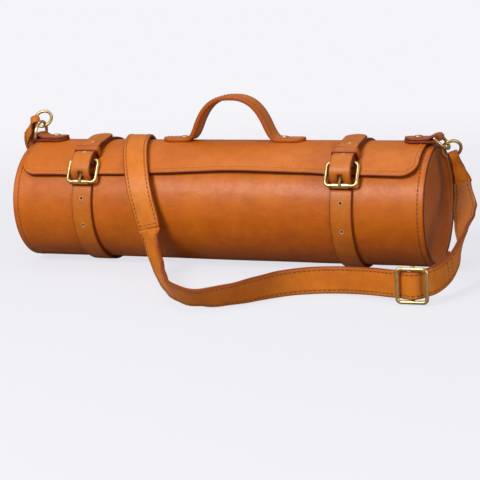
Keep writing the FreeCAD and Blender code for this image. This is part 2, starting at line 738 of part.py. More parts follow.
def route_sections(start, finish):
    """Places, width directions and face directions along the strap, finely spaced."""
    points = [start] + [Vector(*place) for place, _ in ROUTE[1:-1]] + [finish]
    path = Part.BSplineCurve()
    path.interpolate(Points=points, Parameters=[float(n) for n in range(len(points))])
    sections = []
    for step in range((len(points) - 1) * SAMPLES_PER_SPAN + 1):
        place = step / SAMPLES_PER_SPAN
        index = min(int(place), len(points) - 2)
        share = place - index
        share = share * share * (3 - 2 * share)
        hint = Vector(*ROUTE[index][1]).normalize() * (1 - share)
        hint = hint + Vector(*ROUTE[index + 1][1]).normalize() * share
        tangent = path.tangent(place)[0]
        width = (hint - tangent * hint.dot(tangent)).normalize()
        sections.append((place, path.value(place), width, tangent.cross(width)))
    return sections


def ribbon(sections, width, wall, shift):
    """A closed strip through the sections, each moved along its face direction by a shift."""
    rings = []
    for place, middle, across, face in sections:
        middle = middle + face * shift(place)
        rings.append([
            middle + across * (width / 2 * a) + face * (wall / 2 * b)
            for a, b in ((-1, -1), (1, -1), (1, 1), (-1, 1))
        ])
    faces = []
    for ring, following in zip(rings, rings[1:]):
        for corner in range(4):
            after = (corner + 1) % 4
            quad = (ring[corner], ring[after], following[after], following[corner])
            for triangle in ((0, 1, 2), (0, 2, 3)):
                loop = [quad[n] for n in triangle]
                faces.append(Part.Face(Part.makePolygon(loop + loop[:1])))
    for ring in (rings[0], rings[-1]):
        for triangle in ((0, 1, 2), (0, 2, 3)):
            loop = [ring[n] for n in triangle]
            faces.append(Part.Face(Part.makePolygon(loop + loop[:1])))
    shell = Part.makeShell(faces)
    shell.sewShape()
    solid = Part.makeSolid(shell)
    if solid.Volume < 0:
        solid.reverse()
    return solid


def make_shoulder_strap(start, finish):
    """The loose strap, the layer that its end is sewn back as, and its slider."""
    sections = route_sections(start, finish)
    width, wall = size("strap_width"), size("strap_wall")
    slider = sections[SLIDER_STATION * SAMPLES_PER_SPAN]
    toward_front = 1.0 if slider[3].y < 0 else -1.0
    side_bar = size("slider_width / 2 - slider_wire / 2")

    def weave(place):
        """The strap dips behind the slider's sides and crosses over its bar."""
        along = (place - SLIDER_STATION) * 18.0
        dip = math.exp(-((abs(along) - side_bar) / 5.0) ** 2)
        hump = math.exp(-(along / 5.5) ** 2)
        return toward_front * (2.2 * hump - 1.7 * dip)

    strap = ribbon(sections, width, wall, weave)
    feature("shoulder_strap", strap)
    behind = -toward_front * (wall + 0.6)
    first, last = RETURN_SPAN
    back_layer = [s for s in sections if first - 0.01 <= s[0] <= last + 0.01]
    feature("strap_return", ribbon(back_layer, width - 1.0, size("return_wall"), lambda place: behind))
    make_slider(slider, toward_front)
    length = sum((b[1] - a[1]).Length for a, b in zip(sections, sections[1:]))
    print("shoulder strap length", round(length, 1), "volume share",
          round(strap.Volume / (length * width * wall), 3), "from", start, "to", finish)


def make_slider(station, toward_front):
    """A rectangular slider: a bent wire frame and a bar across its back."""
    middle, up = station[1], Vector(0, 0, 1)
    face = station[3] * toward_front
    along = up.cross(face).normalize()
    wire = size("slider_wire")
    half_w = size("slider_width / 2 - slider_wire / 2")
    half_h = size("slider_height / 2 - slider_wire / 2")
    corner = wire
    centre = middle + face * 2.2
    print("slider axis", list(along), "middle", list(middle))
    frame = None
    for sign in (-1, 1):
        bars = [
            (centre + along * (sign * half_w) - up * (half_h - corner), up, 2 * (half_h - corner)),
            (centre + up * (sign * half_h) - along * (half_w - corner), along, 2 * (half_w - corner)),
        ]
        for start, direction, length in bars:
            bar = Part.makeCylinder(wire / 2, length, start, direction)
            frame = bar if frame is None else frame.fuse(bar)
        for rise in (-1, 1):
            pivot = centre + along * (sign * (half_w - corner)) + up * (rise * (half_h - corner))
            start = pivot + along * (sign * corner)
            finish = pivot + up * (rise * corner)
            bend = pivot + (along * sign + up * rise).normalize() * corner
            path = Part.Wire(Part.Arc(start, bend, finish).toShape())
            disc = Part.Wire(Part.makeCircle(wire / 2, start, up))
            frame = frame.fuse(path.makePipeShell([disc], True, True))
    feature("slider_frame", frame.removeSplitter())
    back = centre - face * (wire + 0.05)
    reach = half_h + wire / 2 - 0.3
    bar = Part.makeCylinder(wire / 2, 2 * reach, back - up * reach, up)
    feature("slider_bar", bar)


def make_strap_loop(side, ring):
    """The strap's end, folded round the round ring; returns where the strap goes on."""
    wall, width = size("strap_end_wall"), size("strap_loop_width")
    inner = size("ring_wire / 2 + strap_loop_slack")
    radius = size("round_ring_radius")
    sagitta = radius - math.sqrt(radius ** 2 - (width / 2) ** 2)
    way = Vector(*STRAP_END_WAY[side])
    away = (way - ring["axis"] * way.dot(ring["axis"])).normalize()
    far = ring["middle"] + away * (radius - sagitta / 2)
    along = ring["axis"].cross(away).normalize()
    loop = tube_of(inner, wall, width, far, along)
    tongue = (way - along * way.dot(along)).normalize()
    thick = along.cross(tongue).normalize()
    start = far + tongue * (inner + wall * 0.5) - along * (width / 2) - thick * wall
    face = Part.Face(Part.makePolygon([
        start, start + along * width, start + along * width + thick * (2 * wall),
        start + thick * (2 * wall), start,
    ]))
    solid = loop.fuse(face.extrude(tongue * size("strap_tongue")))
    feature(f"strap_loop_{side}", solid.removeSplitter())
    return far + tongue * (inner + wall * 0.5 + size("strap_tongue + strap_end_clearance"))


make_barrel()
make_end_caps()
make_flap()
make_anchor()
for side, sign in SIDES.items():
    make_closure(side, sign)
make_handle()
make_back_rivets()
rings = {side: make_rings(side, sign, make_tab(side, sign)) for side, sign in SIDES.items()}
strap_ends = {}
for side, ring in rings.items():
    strap_ends[side] = make_strap_loop(side, ring)
    print(side, "ring pivot", list(ring["pivot"]), "axis", list(ring["axis"]))
make_shoulder_strap(strap_ends["left"], strap_ends["right"])

document.recompute()
faults = [thing.Name for thing in document.Objects if {"Invalid", "Error"} & set(thing.State)]
if faults:
    raise RuntimeError(f"failed objects: {faults}")
for label, thing in pieces.items():
    if thing.Shape.isNull() or not thing.Shape.isValid():
        raise RuntimeError(f"{label} has no valid shape")
os.makedirs("parts", exist_ok=True)
for label, thing in pieces.items():
    thing.Shape.exportStep(f"parts/{label}.step")
    print(label, len(thing.Shape.Solids), round(thing.Shape.Volume, 1))
print("axis height", AXIS_HEIGHT, "flap outer", FLAP_OUTER, "heel radius", HEEL_RADIUS,
      "roller radius", ROLLER_RADIUS)
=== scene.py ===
"""Visual model of a leather brush roll case with its flap, buckled straps and shoulder strap."""

import heapq
import logging
import math
from collections import defaultdict
from dataclasses import dataclass, field
from enum import Enum
from typing import Callable, Sequence

import bmesh
import bpy
from mathutils import Matrix, Vector, noise


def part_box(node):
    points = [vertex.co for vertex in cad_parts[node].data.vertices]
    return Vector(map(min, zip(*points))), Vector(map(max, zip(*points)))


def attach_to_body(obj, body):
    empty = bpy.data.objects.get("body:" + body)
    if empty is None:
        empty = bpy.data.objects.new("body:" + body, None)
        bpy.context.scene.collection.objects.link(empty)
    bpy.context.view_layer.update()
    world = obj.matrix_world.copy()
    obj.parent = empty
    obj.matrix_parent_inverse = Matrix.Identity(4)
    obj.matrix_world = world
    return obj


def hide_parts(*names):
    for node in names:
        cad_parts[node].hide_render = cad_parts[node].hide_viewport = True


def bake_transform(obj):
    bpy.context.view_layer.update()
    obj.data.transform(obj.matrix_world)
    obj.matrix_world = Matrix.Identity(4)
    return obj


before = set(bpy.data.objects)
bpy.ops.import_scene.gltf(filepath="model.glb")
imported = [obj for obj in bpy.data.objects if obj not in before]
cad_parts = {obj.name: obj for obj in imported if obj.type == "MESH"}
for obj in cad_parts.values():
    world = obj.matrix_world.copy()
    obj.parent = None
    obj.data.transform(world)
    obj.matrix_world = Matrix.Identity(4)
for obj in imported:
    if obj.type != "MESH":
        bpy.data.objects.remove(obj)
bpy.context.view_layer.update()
LOG = logging.getLogger("brush_roll_case")

MM = 0.001
Colour = tuple[float, float, float]

# Sizes shared by several sub-assemblies, in millimetres
AXIS_HEIGHT = 62.6
TUBE_RADIUS = 60.0
TUBE_WALL = 3.2
TUBE_HALF = 220.0
FLAP_OUTER = 63.5
FLAP_WALL = 3.2
STRAP_INNER = 63.7
STRAP_OUTER = 66.1
CLOSURE_WALL = 2.4
CLOSURE_HALF = 11.0
CLOSURE_OFFSET = 139.0
HEEL_ANGLE = 44.0
HEEL_RADIUS = 68.2
FOLD_ANGLE = -20.0
TAB_BASE = AXIS_HEIGHT + STRAP_INNER
TAB_SIDE = -3.0


class Side(Enum):
    """The two ends of the case."""

    LEFT = -1
    RIGHT = 1

    @property
    def word(self) -> str:
        """The side's name as the nodes use it."""
        return self.name.lower()


class Layers(Enum):
    """How a cut edge is made: each layer bulges, with a line between two of them."""

    ONE = ((0.5, 0.16),)
    TWO = ((0.26, 0.12), (0.5, -0.02), (0.74, 0.12))


def polar(angle: float, radius: float, x: float = 0.0) -> Vector:
    """A point at an angle round the tube from its top towards the front.

    Args:
        angle: Degrees from the top.
        radius: Distance from the tube's axis, in millimetres.
        x: Place along the tube, in millimetres.

    Returns:
        The point, in metres.
    """
    turn = math.radians(angle)
    return Vector((x, -radius * math.sin(turn), AXIS_HEIGHT + radius * math.cos(turn))) * MM


def outward(angle: float) -> Vector:
    """The direction away from the tube's axis at an angle."""
    turn = math.radians(angle)
    return Vector((0.0, -math.sin(turn), math.cos(turn)))


def eased(value: float, low: float, high: float) -> float:
    """A smooth step from 0 at low to 1 at high."""
    share = min(1.0, max(0.0, (value - low) / (high - low)))
    return share * share * (3 - 2 * share)


def table(value: float, pairs: Sequence[tuple[float, float]]) -> float:
    """A smoothed look-up in a short table.

    Args:
        value: Where to read.
        pairs: Places and their values, in rising order.

    Returns:
        The value between the two nearest places.
    """
    if value <= pairs[0][0]:
        return pairs[0][1]
    for (low, first), (high, second) in zip(pairs, pairs[1:]):
        if value <= high:
            return first + (second - first) * eased(value, low, high)
    return pairs[-1][1]


# Shader graphs


class Value:
    """An output socket that Python expressions can work with."""

    def __init__(self, graph: "Graph", socket: bpy.types.NodeSocket) -> None:
        """Keep the graph and the socket."""
        self.graph = graph
        self.socket = socket

    def _math(self, operation: str, first: "Value | float", second: "Value | float") -> "Value":
        """One Math node."""
        return self.graph.node("ShaderNodeMath", {"operation": operation}, {0: first, 1: second})[0]

    def __add__(self, other: "Value | float") -> "Value":
        """Sum."""
        return self._math("ADD", self, other)

    __radd__ = __add__

    def __mul__(self, other: "Value | float") -> "Value":
        """Product."""
        return self._math("MULTIPLY", self, other)

    __rmul__ = __mul__

    def __sub__(self, other: "Value | float") -> "Value":
        """Difference."""
        return self._math("SUBTRACT", self, other)

    def __rsub__(self, other: "Value | float") -> "Value":
        """Difference from a number."""
        return self._math("SUBTRACT", other, self)

    def __abs__(self) -> "Value":
        """Size without its sign."""
        return self._math("ABSOLUTE", self, 0.0)

    def step(self, low: float, high: float) -> "Value":
        """A smooth step from 0 at low to 1 at high, in either order."""
        settings = {"interpolation_type": "SMOOTHSTEP"}
        return self.graph.node(
            "ShaderNodeMapRange", settings, {"Value": self, "From Min": low, "From Max": high}
        )[0]


class Made:
    """A node already made, whose outputs are read by index or name."""

    def __init__(self, graph: "Graph", node: bpy.types.Node) -> None:
        """Keep the graph and the node."""
        self.graph = graph
        self.node = node

    def __getitem__(self, key: int | str) -> Value:
        """The output of that index or name."""
        return Value(self.graph, self.node.outputs[key])


class Graph:
    """A material's or the world's node tree."""

    def __init__(self, tree: bpy.types.NodeTree) -> None:
        """Start from an empty tree."""
        self.tree = tree
        tree.nodes.clear()

    def node(self, kind: str, settings: dict | None = None, sockets: dict | None = None) -> Made:
        """Add any node.

        Args:
            kind: The node's type.
            settings: Its properties, set before its sockets; "stops" fills a colour ramp.
            sockets: Values or links of its inputs, by index, identifier or name.

        Returns:
            The node, ready for its outputs to be read.
        """
        made = self.tree.nodes.new(kind)
        for name, setting in (settings or {}).items():
            if name == "stops":
                ramp = made.color_ramp.elements
                for index, (place, colour) in enumerate(setting):
                    element = ramp[index] if index < 2 else ramp.new(place)
                    element.position = place
                    element.color = (*colour, 1.0)
            else:
                setattr(made, name, setting)
        for key, value in (sockets or {}).items():
            self._feed(self._input(made, key), value)
        return Made(self, made)

    @staticmethod
    def _input(node: bpy.types.Node, key: int | str) -> bpy.types.NodeSocket:
        """The input with that index, identifier or name."""
        if isinstance(key, int):
            return node.inputs[key]
        for socket in node.inputs:
            if socket.identifier == key:
                return socket
        return node.inputs[key]

    def _feed(self, socket: bpy.types.NodeSocket, value: "Value | float | Sequence[float]") -> None:
        """Link a socket, or set it."""
        if isinstance(value, Value):
            self.tree.links.new(value.socket, socket)
        elif isinstance(value, (tuple, list)) and len(socket.default_value) == 4:
            socket.default_value = (*value[:3], 1.0)
        else:
            socket.default_value = value

    def blend(self, share: "Value | float", first: "Value | Colour", second: "Value | Colour",
              mode: str = "MIX") -> Value:
        """Mix two colours.

        Args:
            share: How much of the second.
            first: The colour at 0.
            second: The colour at 1.
            mode: The Mix node's blend type.

        Returns:
            The mixed colour.
        """
        made = self.node(
            "ShaderNodeMix", {"data_type": "RGBA", "blend_type": mode, "clamp_factor": True},
            {"Factor_Float": share, "A_Color": first, "B_Color": second},
        )
        return made[2]

    def place(self) -> Value:
        """Coordinates fixed to the piece, in metres."""
        return self.node("ShaderNodeTexCoord")["Object"]

    def noise(self, scale: float, detail: float = 2.0, rough: float = 0.5,
              where: Value | None = None) -> Value:
        """Smooth noise with so many lumps a metre, from 0 to 1."""
        sockets = {"Vector": where or self.place(), "Scale": scale, "Detail": detail, "Roughness": rough}
        return self.node("ShaderNodeTexNoise", {"noise_dimensions": "3D"}, sockets)[0]

    def cells(self, scale: float, feature: str = "F1") -> Value:
        """Distance in a cell pattern with so many cells a metre."""
        sockets = {"Vector": self.place(), "Scale": scale}
        return self.node("ShaderNodeTexVoronoi", {"feature": feature}, sockets)["Distance"]

    def worked(self, name: str) -> Value:
        """A measure that the maker of the mesh left on it."""
        return self.node("ShaderNodeAttribute", {"attribute_name": name})["Fac"]

    def bump(self, height: Value, distance: float, strength: float = 1.0) -> Value:
        """A Bump node over a height."""
        return self.node(
            "ShaderNodeBump", None, {"Strength": strength, "Distance": distance, "Height": height}
        )[0]

    def finish(self, kind: str, sockets: dict) -> None:
        """Add the shader and link it to the output."""
        shader = self.node(kind, None, sockets)
        self.node("ShaderNodeOutputMaterial", None, {"Surface": shader[0]})


def new_graph(name: str) -> tuple[bpy.types.Material, Graph]:
    """A new material and its graph."""
    material = bpy.data.materials.new(name)
    material.use_nodes = True
    return material, Graph(material.node_tree)


class Finish:
    """Anything that can dress a piece; its material is made once."""

    name: str
    _made: dict[str, bpy.types.Material] = {}

    def material(self) -> bpy.types.Material:
        """The material, made at first use."""
        if self.name not in Finish._made:
            Finish._made[self.name] = self.make()
        return Finish._made[self.name]

    def make(self) -> bpy.types.Material:
        """Build the material."""
        raise NotImplementedError


@dataclass(frozen=True)
class Leather(Finish):
    """Vegetable-tanned leather with a burnished edge, a sewn groove and a flesh side."""

    name: str
    tan: Colour
    deep: Colour
    edge: Colour
    flesh: Colour = (0.33, 0.15, 0.055)
    seam: float = 0.0
    rough: float = 0.36
    pores: float = 1.0
    coat: float = 0.08
    burnish: float = 0.8

    def make(self) -> bpy.types.Material:
        """Grain, mottling, burnished rims, sewn groove and flesh side."""
        material, graph = new_graph(self.name)
        rim, flesh = graph.worked("rim"), graph.worked("flesh")
        clouds, mottle = graph.noise(16.0, 4.0, 0.55), graph.noise(95.0, 5.0, 0.62)
        fine = graph.noise(1500.0, 3.0, 0.6)
        pores = graph.cells(1150.0, "DISTANCE_TO_EDGE").step(0.0, 0.16)
        creases = abs(graph.noise(58.0, 6.0, 0.66) - 0.5).step(0.0, 0.030)
        tone = (clouds.step(0.30, 0.72) * 0.55 + mottle.step(0.25, 0.8) * 0.45)
        colour = graph.blend(tone, self.tan, self.deep)
        colour = graph.blend((1 - creases) * 0.07, colour, self.edge)
        colour = graph.blend((1 - pores) * 0.16, colour, self.deep)
        colour = graph.blend(fine.step(0.62, 0.85) * 0.18, colour, self.tan)
        ragged = rim + (mottle - 0.5) * 0.8
        shade = 1 - ragged.step(self.burnish, self.burnish + 2.2)
        colour = graph.blend(shade * 0.20, colour, self.edge)
        burnt = 1 - ragged.step(self.burnish - 0.5, self.burnish)
        groove = 1 - abs(rim - self.seam).step(0.35, 0.75) if self.seam else 0.0 * rim
        colour = graph.blend(groove * 0.30, colour, self.deep)
        colour = graph.blend(flesh * 0.9, colour, graph.blend(mottle, self.flesh, self.deep))
        colour = graph.blend(burnt, colour, graph.blend(fine.step(0.4, 0.8) * 0.5, self.edge, self.deep))
        rough = (mottle - 0.5) * 0.16 + self.rough + flesh * 0.3 - burnt * 0.04
        rough = rough + (1 - pores) * 0.14
        height = pores * (0.12 * self.pores) + fine * (0.16 * self.pores) + mottle * 0.40
        height = height + creases * 0.16 - groove * 0.8 + flesh * (fine * 0.5)
        graph.finish("ShaderNodeBsdfPrincipled", {
            "Base Color": colour, "Roughness": rough, "Normal": graph.bump(height, 0.00042),
            "Coat Weight": self.coat, "Coat Roughness": 0.25, "Specular IOR Level": 0.30,
        })
        return material


@dataclass(frozen=True)
class Metal(Finish):
    """Antique metal: dark in its lumps and scratches, bright where hands rub it."""

    name: str
    bright: Colour
    dull: Colour
    rough: float = 0.30

    def make(self) -> bpy.types.Material:
        """Patina, fine scratches and rubbed ridges."""
        material, graph = new_graph(self.name)
        patina = graph.noise(120.0, 4.0, 0.6).step(0.36, 0.80)
        stretched = graph.node(
            "ShaderNodeMapping", None, {"Vector": graph.place(), "Scale": (500.0, 60.0, 500.0)})[0]
        scratches = graph.noise(5.0, 5.0, 0.7, stretched)
        ridge = graph.node("ShaderNodeNewGeometry")["Pointiness"].step(0.50, 0.57)
        worn = (ridge * 0.45 + (1 - patina) * 0.75).step(0.0, 1.0)
        colour = graph.blend(worn, self.dull, self.bright)
        colour = graph.blend(scratches.step(0.55, 0.75) * 0.35, colour, self.bright)
        rough = (1 - worn) * 0.20 + self.rough + (scratches - 0.5) * 0.20
        height = scratches * 0.4 + patina * 0.3
        graph.finish("ShaderNodeBsdfPrincipled", {
            "Base Color": colour, "Metallic": 1.0, "Roughness": rough,
            "Normal": graph.bump(height, 0.00005, 0.5),
        })
        return material


@dataclass(frozen=True)
class Thread(Finish):
    """Waxed sewing thread."""

    name: str
    light: Colour
    dark: Colour

    def make(self) -> bpy.types.Material:
        """Twisted strands and a little wax."""
        material, graph = new_graph(self.name)
        strands = graph.noise(3200.0, 2.0)
        soiled = graph.noise(60.0, 3.0)
        colour = graph.blend(strands * 0.6 + soiled * 0.4, self.dark, self.light)
        graph.finish("ShaderNodeBsdfPrincipled", {
            "Base Color": colour, "Roughness": strands * 0.2 + 0.5,
            "Normal": graph.bump(strands, 0.00012),
        })
        return material


@dataclass(frozen=True)
class RawLeather(Finish):
    """The light cut edge of leather that is punched or trimmed and left raw."""

    name: str
    light: Colour
    dark: Colour

    def make(self) -> bpy.types.Material:
        """Fibres in two tones."""
        material, graph = new_graph(self.name)
        fibres, soiled = graph.noise(1900.0, 4.0, 0.7), graph.noise(120.0, 3.0)
        colour = graph.blend(fibres * 0.5 + soiled.step(0.3, 0.8) * 0.5, self.light, self.dark)
        graph.finish("ShaderNodeBsdfPrincipled", {
            "Base Color": colour, "Roughness": fibres * 0.2 + 0.6,
            "Normal": graph.bump(fibres, 0.0002),
        })
        return material


EDGE = (0.150, 0.016, 0.0015)
CASE_LEATHER = Leather("case_leather", (0.60, 0.150, 0.004), (0.41, 0.078, 0.002), EDGE, seam=6.0)
FLAP_LEATHER = Leather(
    "flap_leather", (0.60, 0.155, 0.005), (0.45, 0.094, 0.002), EDGE, seam=5.2, burnish=1.0)
CLOSURE_LEATHER = Leather("closure_leather", (0.58, 0.165, 0.010), (0.42, 0.095, 0.004), EDGE, burnish=0.9)
TAB_LEATHER = Leather("tab_leather", (0.50, 0.125, 0.009), (0.34, 0.065, 0.004), EDGE, burnish=0.9)
HANDLE_LEATHER = Leather(
    "handle_leather", (0.66, 0.180, 0.008), (0.50, 0.115, 0.004), (0.38, 0.075, 0.004), seam=2.6,
    burnish=0.8)
STRAP_LEATHER = Leather(
    "strap_leather", (0.70, 0.205, 0.010), (0.50, 0.120, 0.005), (0.24, 0.032, 0.002), seam=3.0,
    burnish=0.8)
CAP_LEATHER = Leather(
    "cap_leather", (0.54, 0.125, 0.004), (0.38, 0.075, 0.002), (0.34, 0.13, 0.03), rough=0.38, coat=0.05)
BRASS = Metal("antique_brass", (0.74, 0.56, 0.27), (0.42, 0.27, 0.10))
THREAD = Thread("brown_thread", (0.26, 0.095, 0.020), (0.10, 0.032, 0.008))
TAN_THREAD = Thread("tan_thread", (0.78, 0.38, 0.10), (0.40, 0.14, 0.03))
RAW = RawLeather("raw_leather", (0.66, 0.40, 0.19), (0.42, 0.20, 0.07))


# Making pieces


def finished(mesh: bpy.types.Mesh, finish: Finish) -> bpy.types.Object:
    """Put a mesh in the scene with smooth faces and its finish."""
    for polygon in mesh.polygons:
        polygon.use_smooth = True
    piece = bpy.data.objects.new(mesh.name, mesh)
    bpy.context.scene.collection.objects.link(piece)
    mesh.materials.append(finish.material())
    return piece


def closed_mesh(name: str, points: Sequence[Vector], faces: Sequence[Sequence[int]],
                **measures: Sequence[float]) -> bpy.types.Mesh:
    """A mesh with its faces turned outwards.

    Args:
        name: The mesh's name.
        points: Its vertices, in metres.
        faces: Its faces.
        **measures: One number a vertex, kept for the finish.

    Returns:
        The mesh.
    """
    mesh = bpy.data.meshes.new(name)
    mesh.from_pydata([tuple(p) for p in points], [], [list(f) for f in faces])
    for measure, values in measures.items():
        mesh.attributes.new(measure, "FLOAT", "POINT").data.foreach_set("value", list(values))
    work = bmesh.new()
    work.from_mesh(mesh)
    bmesh.ops.recalc_face_normals(work, faces=work.faces)
    work.to_mesh(mesh)
    work.free()
    return mesh


def attach(piece: bpy.types.Object, body: str, slot: str, *nodes: str) -> bpy.types.Object:
    """Let a piece ride on a body and stand for nodes.

    Args:
        piece: The piece.
        body: The body it rides on.
        slot: The material slot it belongs to, which is not used.
        *nodes: The nodes it stands for.

    Returns:
        The piece.
    """
    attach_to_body(piece, body)
    if nodes:
        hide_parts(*nodes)
    LOG.info("%s rides on %s", piece.name, body)
    return piece


def bend(piece: bpy.types.Object, slot: str, start: Vector, end: Vector, *nodes: str) -> bpy.types.Object:
    """Bake a piece's transform into its mesh and stand for nodes."""
    tuple(start)
    tuple(end)
    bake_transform(piece)
    if nodes:
        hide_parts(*nodes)
    LOG.info("%s bends between barrel and flap", piece.name)
    return piece


Grid = list[list[Vector]]


def leather_sheet(name: str, outer: Grid, inner: Grid, finish: Finish, closed: bool = False,
                  missing: Callable[[int, int], bool] | None = None,
                  layers: Layers = Layers.ONE, plain: tuple[int, ...] = ()) -> bpy.types.Object:
    """A thick sheet of leather with rounded, burnished rims.

    Args:
        name: The piece's name.
        outer: Rows of points of the grain side, in metres.
        inner: The same rows on the flesh side.
        finish: What it is dressed in.
        closed: Whether the last row joins the first.
        missing: Which cells of the grid are cut away.
        layers: How the cut edge is made.
        plain: Rows whose end is butted to another piece, and is not burnished.

    Returns:
        The piece, with its distance from the cut edge as a measure in millimetres.
    """
    rows, columns = len(outer), len(outer[0])
    cells = [
        (i, j) for i in range(rows if closed else rows - 1) for j in range(columns - 1)
        if not (missing and missing(i, j))
    ]
    users: dict[frozenset, list[tuple]] = defaultdict(list)
    near: dict[tuple, set] = defaultdict(set)
    loops = []
    for i, j in cells:
        k = (i + 1) % rows
        loop = [(i, j), (k, j), (k, j + 1), (i, j + 1)]
        loops.append(loop)
        for a, b in zip(loop, loop[1:] + loop[:1]):
            users[frozenset((a, b))].append((a, b, loop))
        for a in loop:
            near[a].update(b for b in loop if b != a)
    border = [uses[0] for uses in users.values() if len(uses) == 1]
    out: dict[tuple, Vector] = defaultdict(Vector)
    for a, b, loop in border:
        middle = sum((outer[i][j] for i, j in loop), Vector()) / 4
        edge_middle = (outer[a[0]][a[1]] + outer[b[0]][b[1]]) / 2
        for corner in (a, b):
            out[corner] += (edge_middle - middle).normalized()
    butted = {c for c in out if c[0] in plain and 0 < c[1] < columns - 1}
    reach = {corner: 0.0 for corner in out if corner not in butted}
    queue = [(0.0, corner) for corner in reach]
    heapq.heapify(queue)
    while queue:
        far, corner = heapq.heappop(queue)
        if far > reach[corner] or far > 12.0:
            continue
        here = outer[corner[0]][corner[1]]
        for other in near[corner]:
            further = far + (outer[other[0]][other[1]] - here).length / MM
            if further < reach.get(other, 1e9):
                reach[other] = further
                heapq.heappush(queue, (further, other))
    points: list[Vector] = []
    rim: list[float] = []
    flesh: list[float] = []
    chain: dict[tuple, list[int]] = {}
    for corner in near:
        grain, back = outer[corner[0]][corner[1]], inner[corner[0]][corner[1]]
        wall = back - grain
        measure = min(12.0, reach.get(corner, 12.0))
        stations = [(0.0, 0.0, measure, 0.0), (1.0, 0.0, measure, 1.0)]
        if corner in butted:
            stations = [(share, 0.0, measure, side) for share, side in ((0.0, 0.0), (0.5, 0.0), (1.0, 1.0))]
            if len(layers.value) > 1:
                stations[1:2] = [(share, 0.0, measure, 0.0) for share in (0.26, 0.5, 0.74)]
        elif corner in out:
            steps = [(share, bulge, -1.0, 0.0) for share, bulge in layers.value]
            stations = [(0.16, 0.0, 0.0, 0.0), *steps, (0.84, 0.0, 0.0, 0.5)]
        chain[corner] = []
        for share, bulge, measure, side in stations:
            push = out[corner].normalized() * (bulge * wall.length) if corner in out else Vector()
            chain[corner].append(len(points))
            points.append(grain + wall * share + push)
            rim.append(measure)
            flesh.append(side)
    faces = [[chain[c][0] for c in loop] for loop in loops]
    faces += [[chain[c][-1] for c in reversed(loop)] for loop in loops]
    for a, b, _ in border:
        for step in range(len(chain[a]) - 1):
            faces.append([chain[a][step], chain[b][step], chain[b][step + 1], chain[a][step + 1]])
    return finished(closed_mesh(name, points, faces, rim=rim, flesh=flesh), finish)


class Line:
    """A run of points that can be read by distance along it, in millimetres."""

    def __init__(self, points: Sequence[Vector]) -> None:
        """Measure the run."""
        self.points = list(points)
        self.marks = [0.0]
        for a, b in zip(self.points, self.points[1:]):
            self.marks.append(self.marks[-1] + (b - a).length / MM)
        self.length = self.marks[-1]

    @classmethod
    def smooth(cls, knots: Sequence[Vector], steps: int = 10) -> "Line":
        """A smooth run through a few knots."""
        ends = [2 * knots[0] - knots[1], *knots, 2 * knots[-1] - knots[-2]]
        points = []
        for a, b, c, d in zip(ends, ends[1:], ends[2:], ends[3:]):
            for step in range(steps):
                t = step / steps
                points.append(0.5 * (
                    2 * b + (c - a) * t + (2 * a - 5 * b + 4 * c - d) * t ** 2
                    + (3 * b - a - 3 * c + d) * t ** 3))
        return cls(points + [knots[-1]])

    def index(self, far: float) -> tuple[int, float]:
        """The span at a distance, and the share of it."""
        low, high = 0, len(self.marks) - 2
        while low < high:
            middle = (low + high + 1) // 2
            if self.marks[middle] <= far:
                low = middle
            else:
                high = middle - 1
        span = self.marks[low + 1] - self.marks[low]
        return low, (far - self.marks[low]) / span if span else 0.0

    def at(self, far: float) -> Vector:
        """The point at a distance."""
        index, share = self.index(far)
        return self.points[index].lerp(self.points[index + 1], share)

    def way(self, far: float, reach: float = 0.8) -> Vector:
        """The direction at a distance."""
        ahead, behind = min(self.length, far + reach), max(0.0, far - reach)
        return (self.at(ahead) - self.at(behind)).normalized()

    def steps(self, step: float, start_tip: float = 0.0, end_tip: float = 0.0) -> list[float]:
        """Distances along the run, closer together at rounded tips."""
        turns = [math.radians(90 * n / 9) for n in range(9)]
        marks = [start_tip * (1 - math.cos(turn)) for turn in turns] if start_tip else [0.0]
        finish = [self.length]
        if end_tip:
            finish = [self.length - end_tip * (1 - math.cos(turn)) for turn in turns]
        low, high = (start_tip or 0.0), self.length - (end_tip or 0.0)
        count = max(1, round((high - low) / step))
        first, last = (0 if start_tip else 1), (count + 1 if end_tip else count)
        marks += [low + (high - low) * n / count for n in range(first, last)]
        return marks + list(reversed(finish))


@dataclass
class Station:
    """One cross-section of a strap, in metres and millimetres for its half width and wall."""

    place: Vector
    across: Vector
    face: Vector
    half: float
    wall: float
    cup: float = 0.0

    def point(self, across: float, side: float, crown: float = 0.0) -> Vector:
        """A point of the section.

        Args:
            across: Millimetres from the middle.
            side: 1 on the grain side and -1 on the flesh side.
            crown: How far the middle stands proud, in millimetres.

        Returns:
            The point, in metres.
        """
        rise = side * self.wall / 2 + (crown * (1 - (across / self.half) ** 2) if side > 0 else 0.0)
        if self.cup:
            rise -= across ** 2 / (2 * self.cup)
        return self.place + self.across * (across * MM) + self.face * (rise * MM)


def tip_half(far: float, length: float, half: float, start: bool, end: bool) -> float:
    """The half width at a distance along a strap whose tips are half round."""
    depth = half
    if start:
        depth = min(depth, far)
    if end:
        depth = min(depth, length - far)
    return max(0.7, math.sqrt(max(0.0, half ** 2 - (half - depth) ** 2)))


def stations_on(line: Line, across: Vector, half: float, wall: float, face_sign: float = 1.0,
                step: float = 2.0, tips: tuple[bool, bool] = (False, False),
                cup: float = 0.0) -> list[Station]:
    """Sections along a line whose width always points one way.

    Args:
        line: The strap's middle line.
        across: The direction of its width.
        half: Half its width, in millimetres.
        wall: Its thickness, in millimetres.
        face_sign: Which way its grain side looks.
        step: Millimetres between sections.
        tips: Whether its first and last ends are half round.
        cup: The radius that it bends across its width, or 0.

    Returns:
        The sections.
    """
    made = []
    marks = line.steps(step, half if tips[0] else 0.0, half if tips[1] else 0.0)
    for far in marks:
        way = line.way(far)
        face = across.cross(way).normalized() * face_sign
        width = tip_half(far, line.length, half, *tips)
        made.append(Station(line.at(far), across, face, width, wall, cup))
    return made


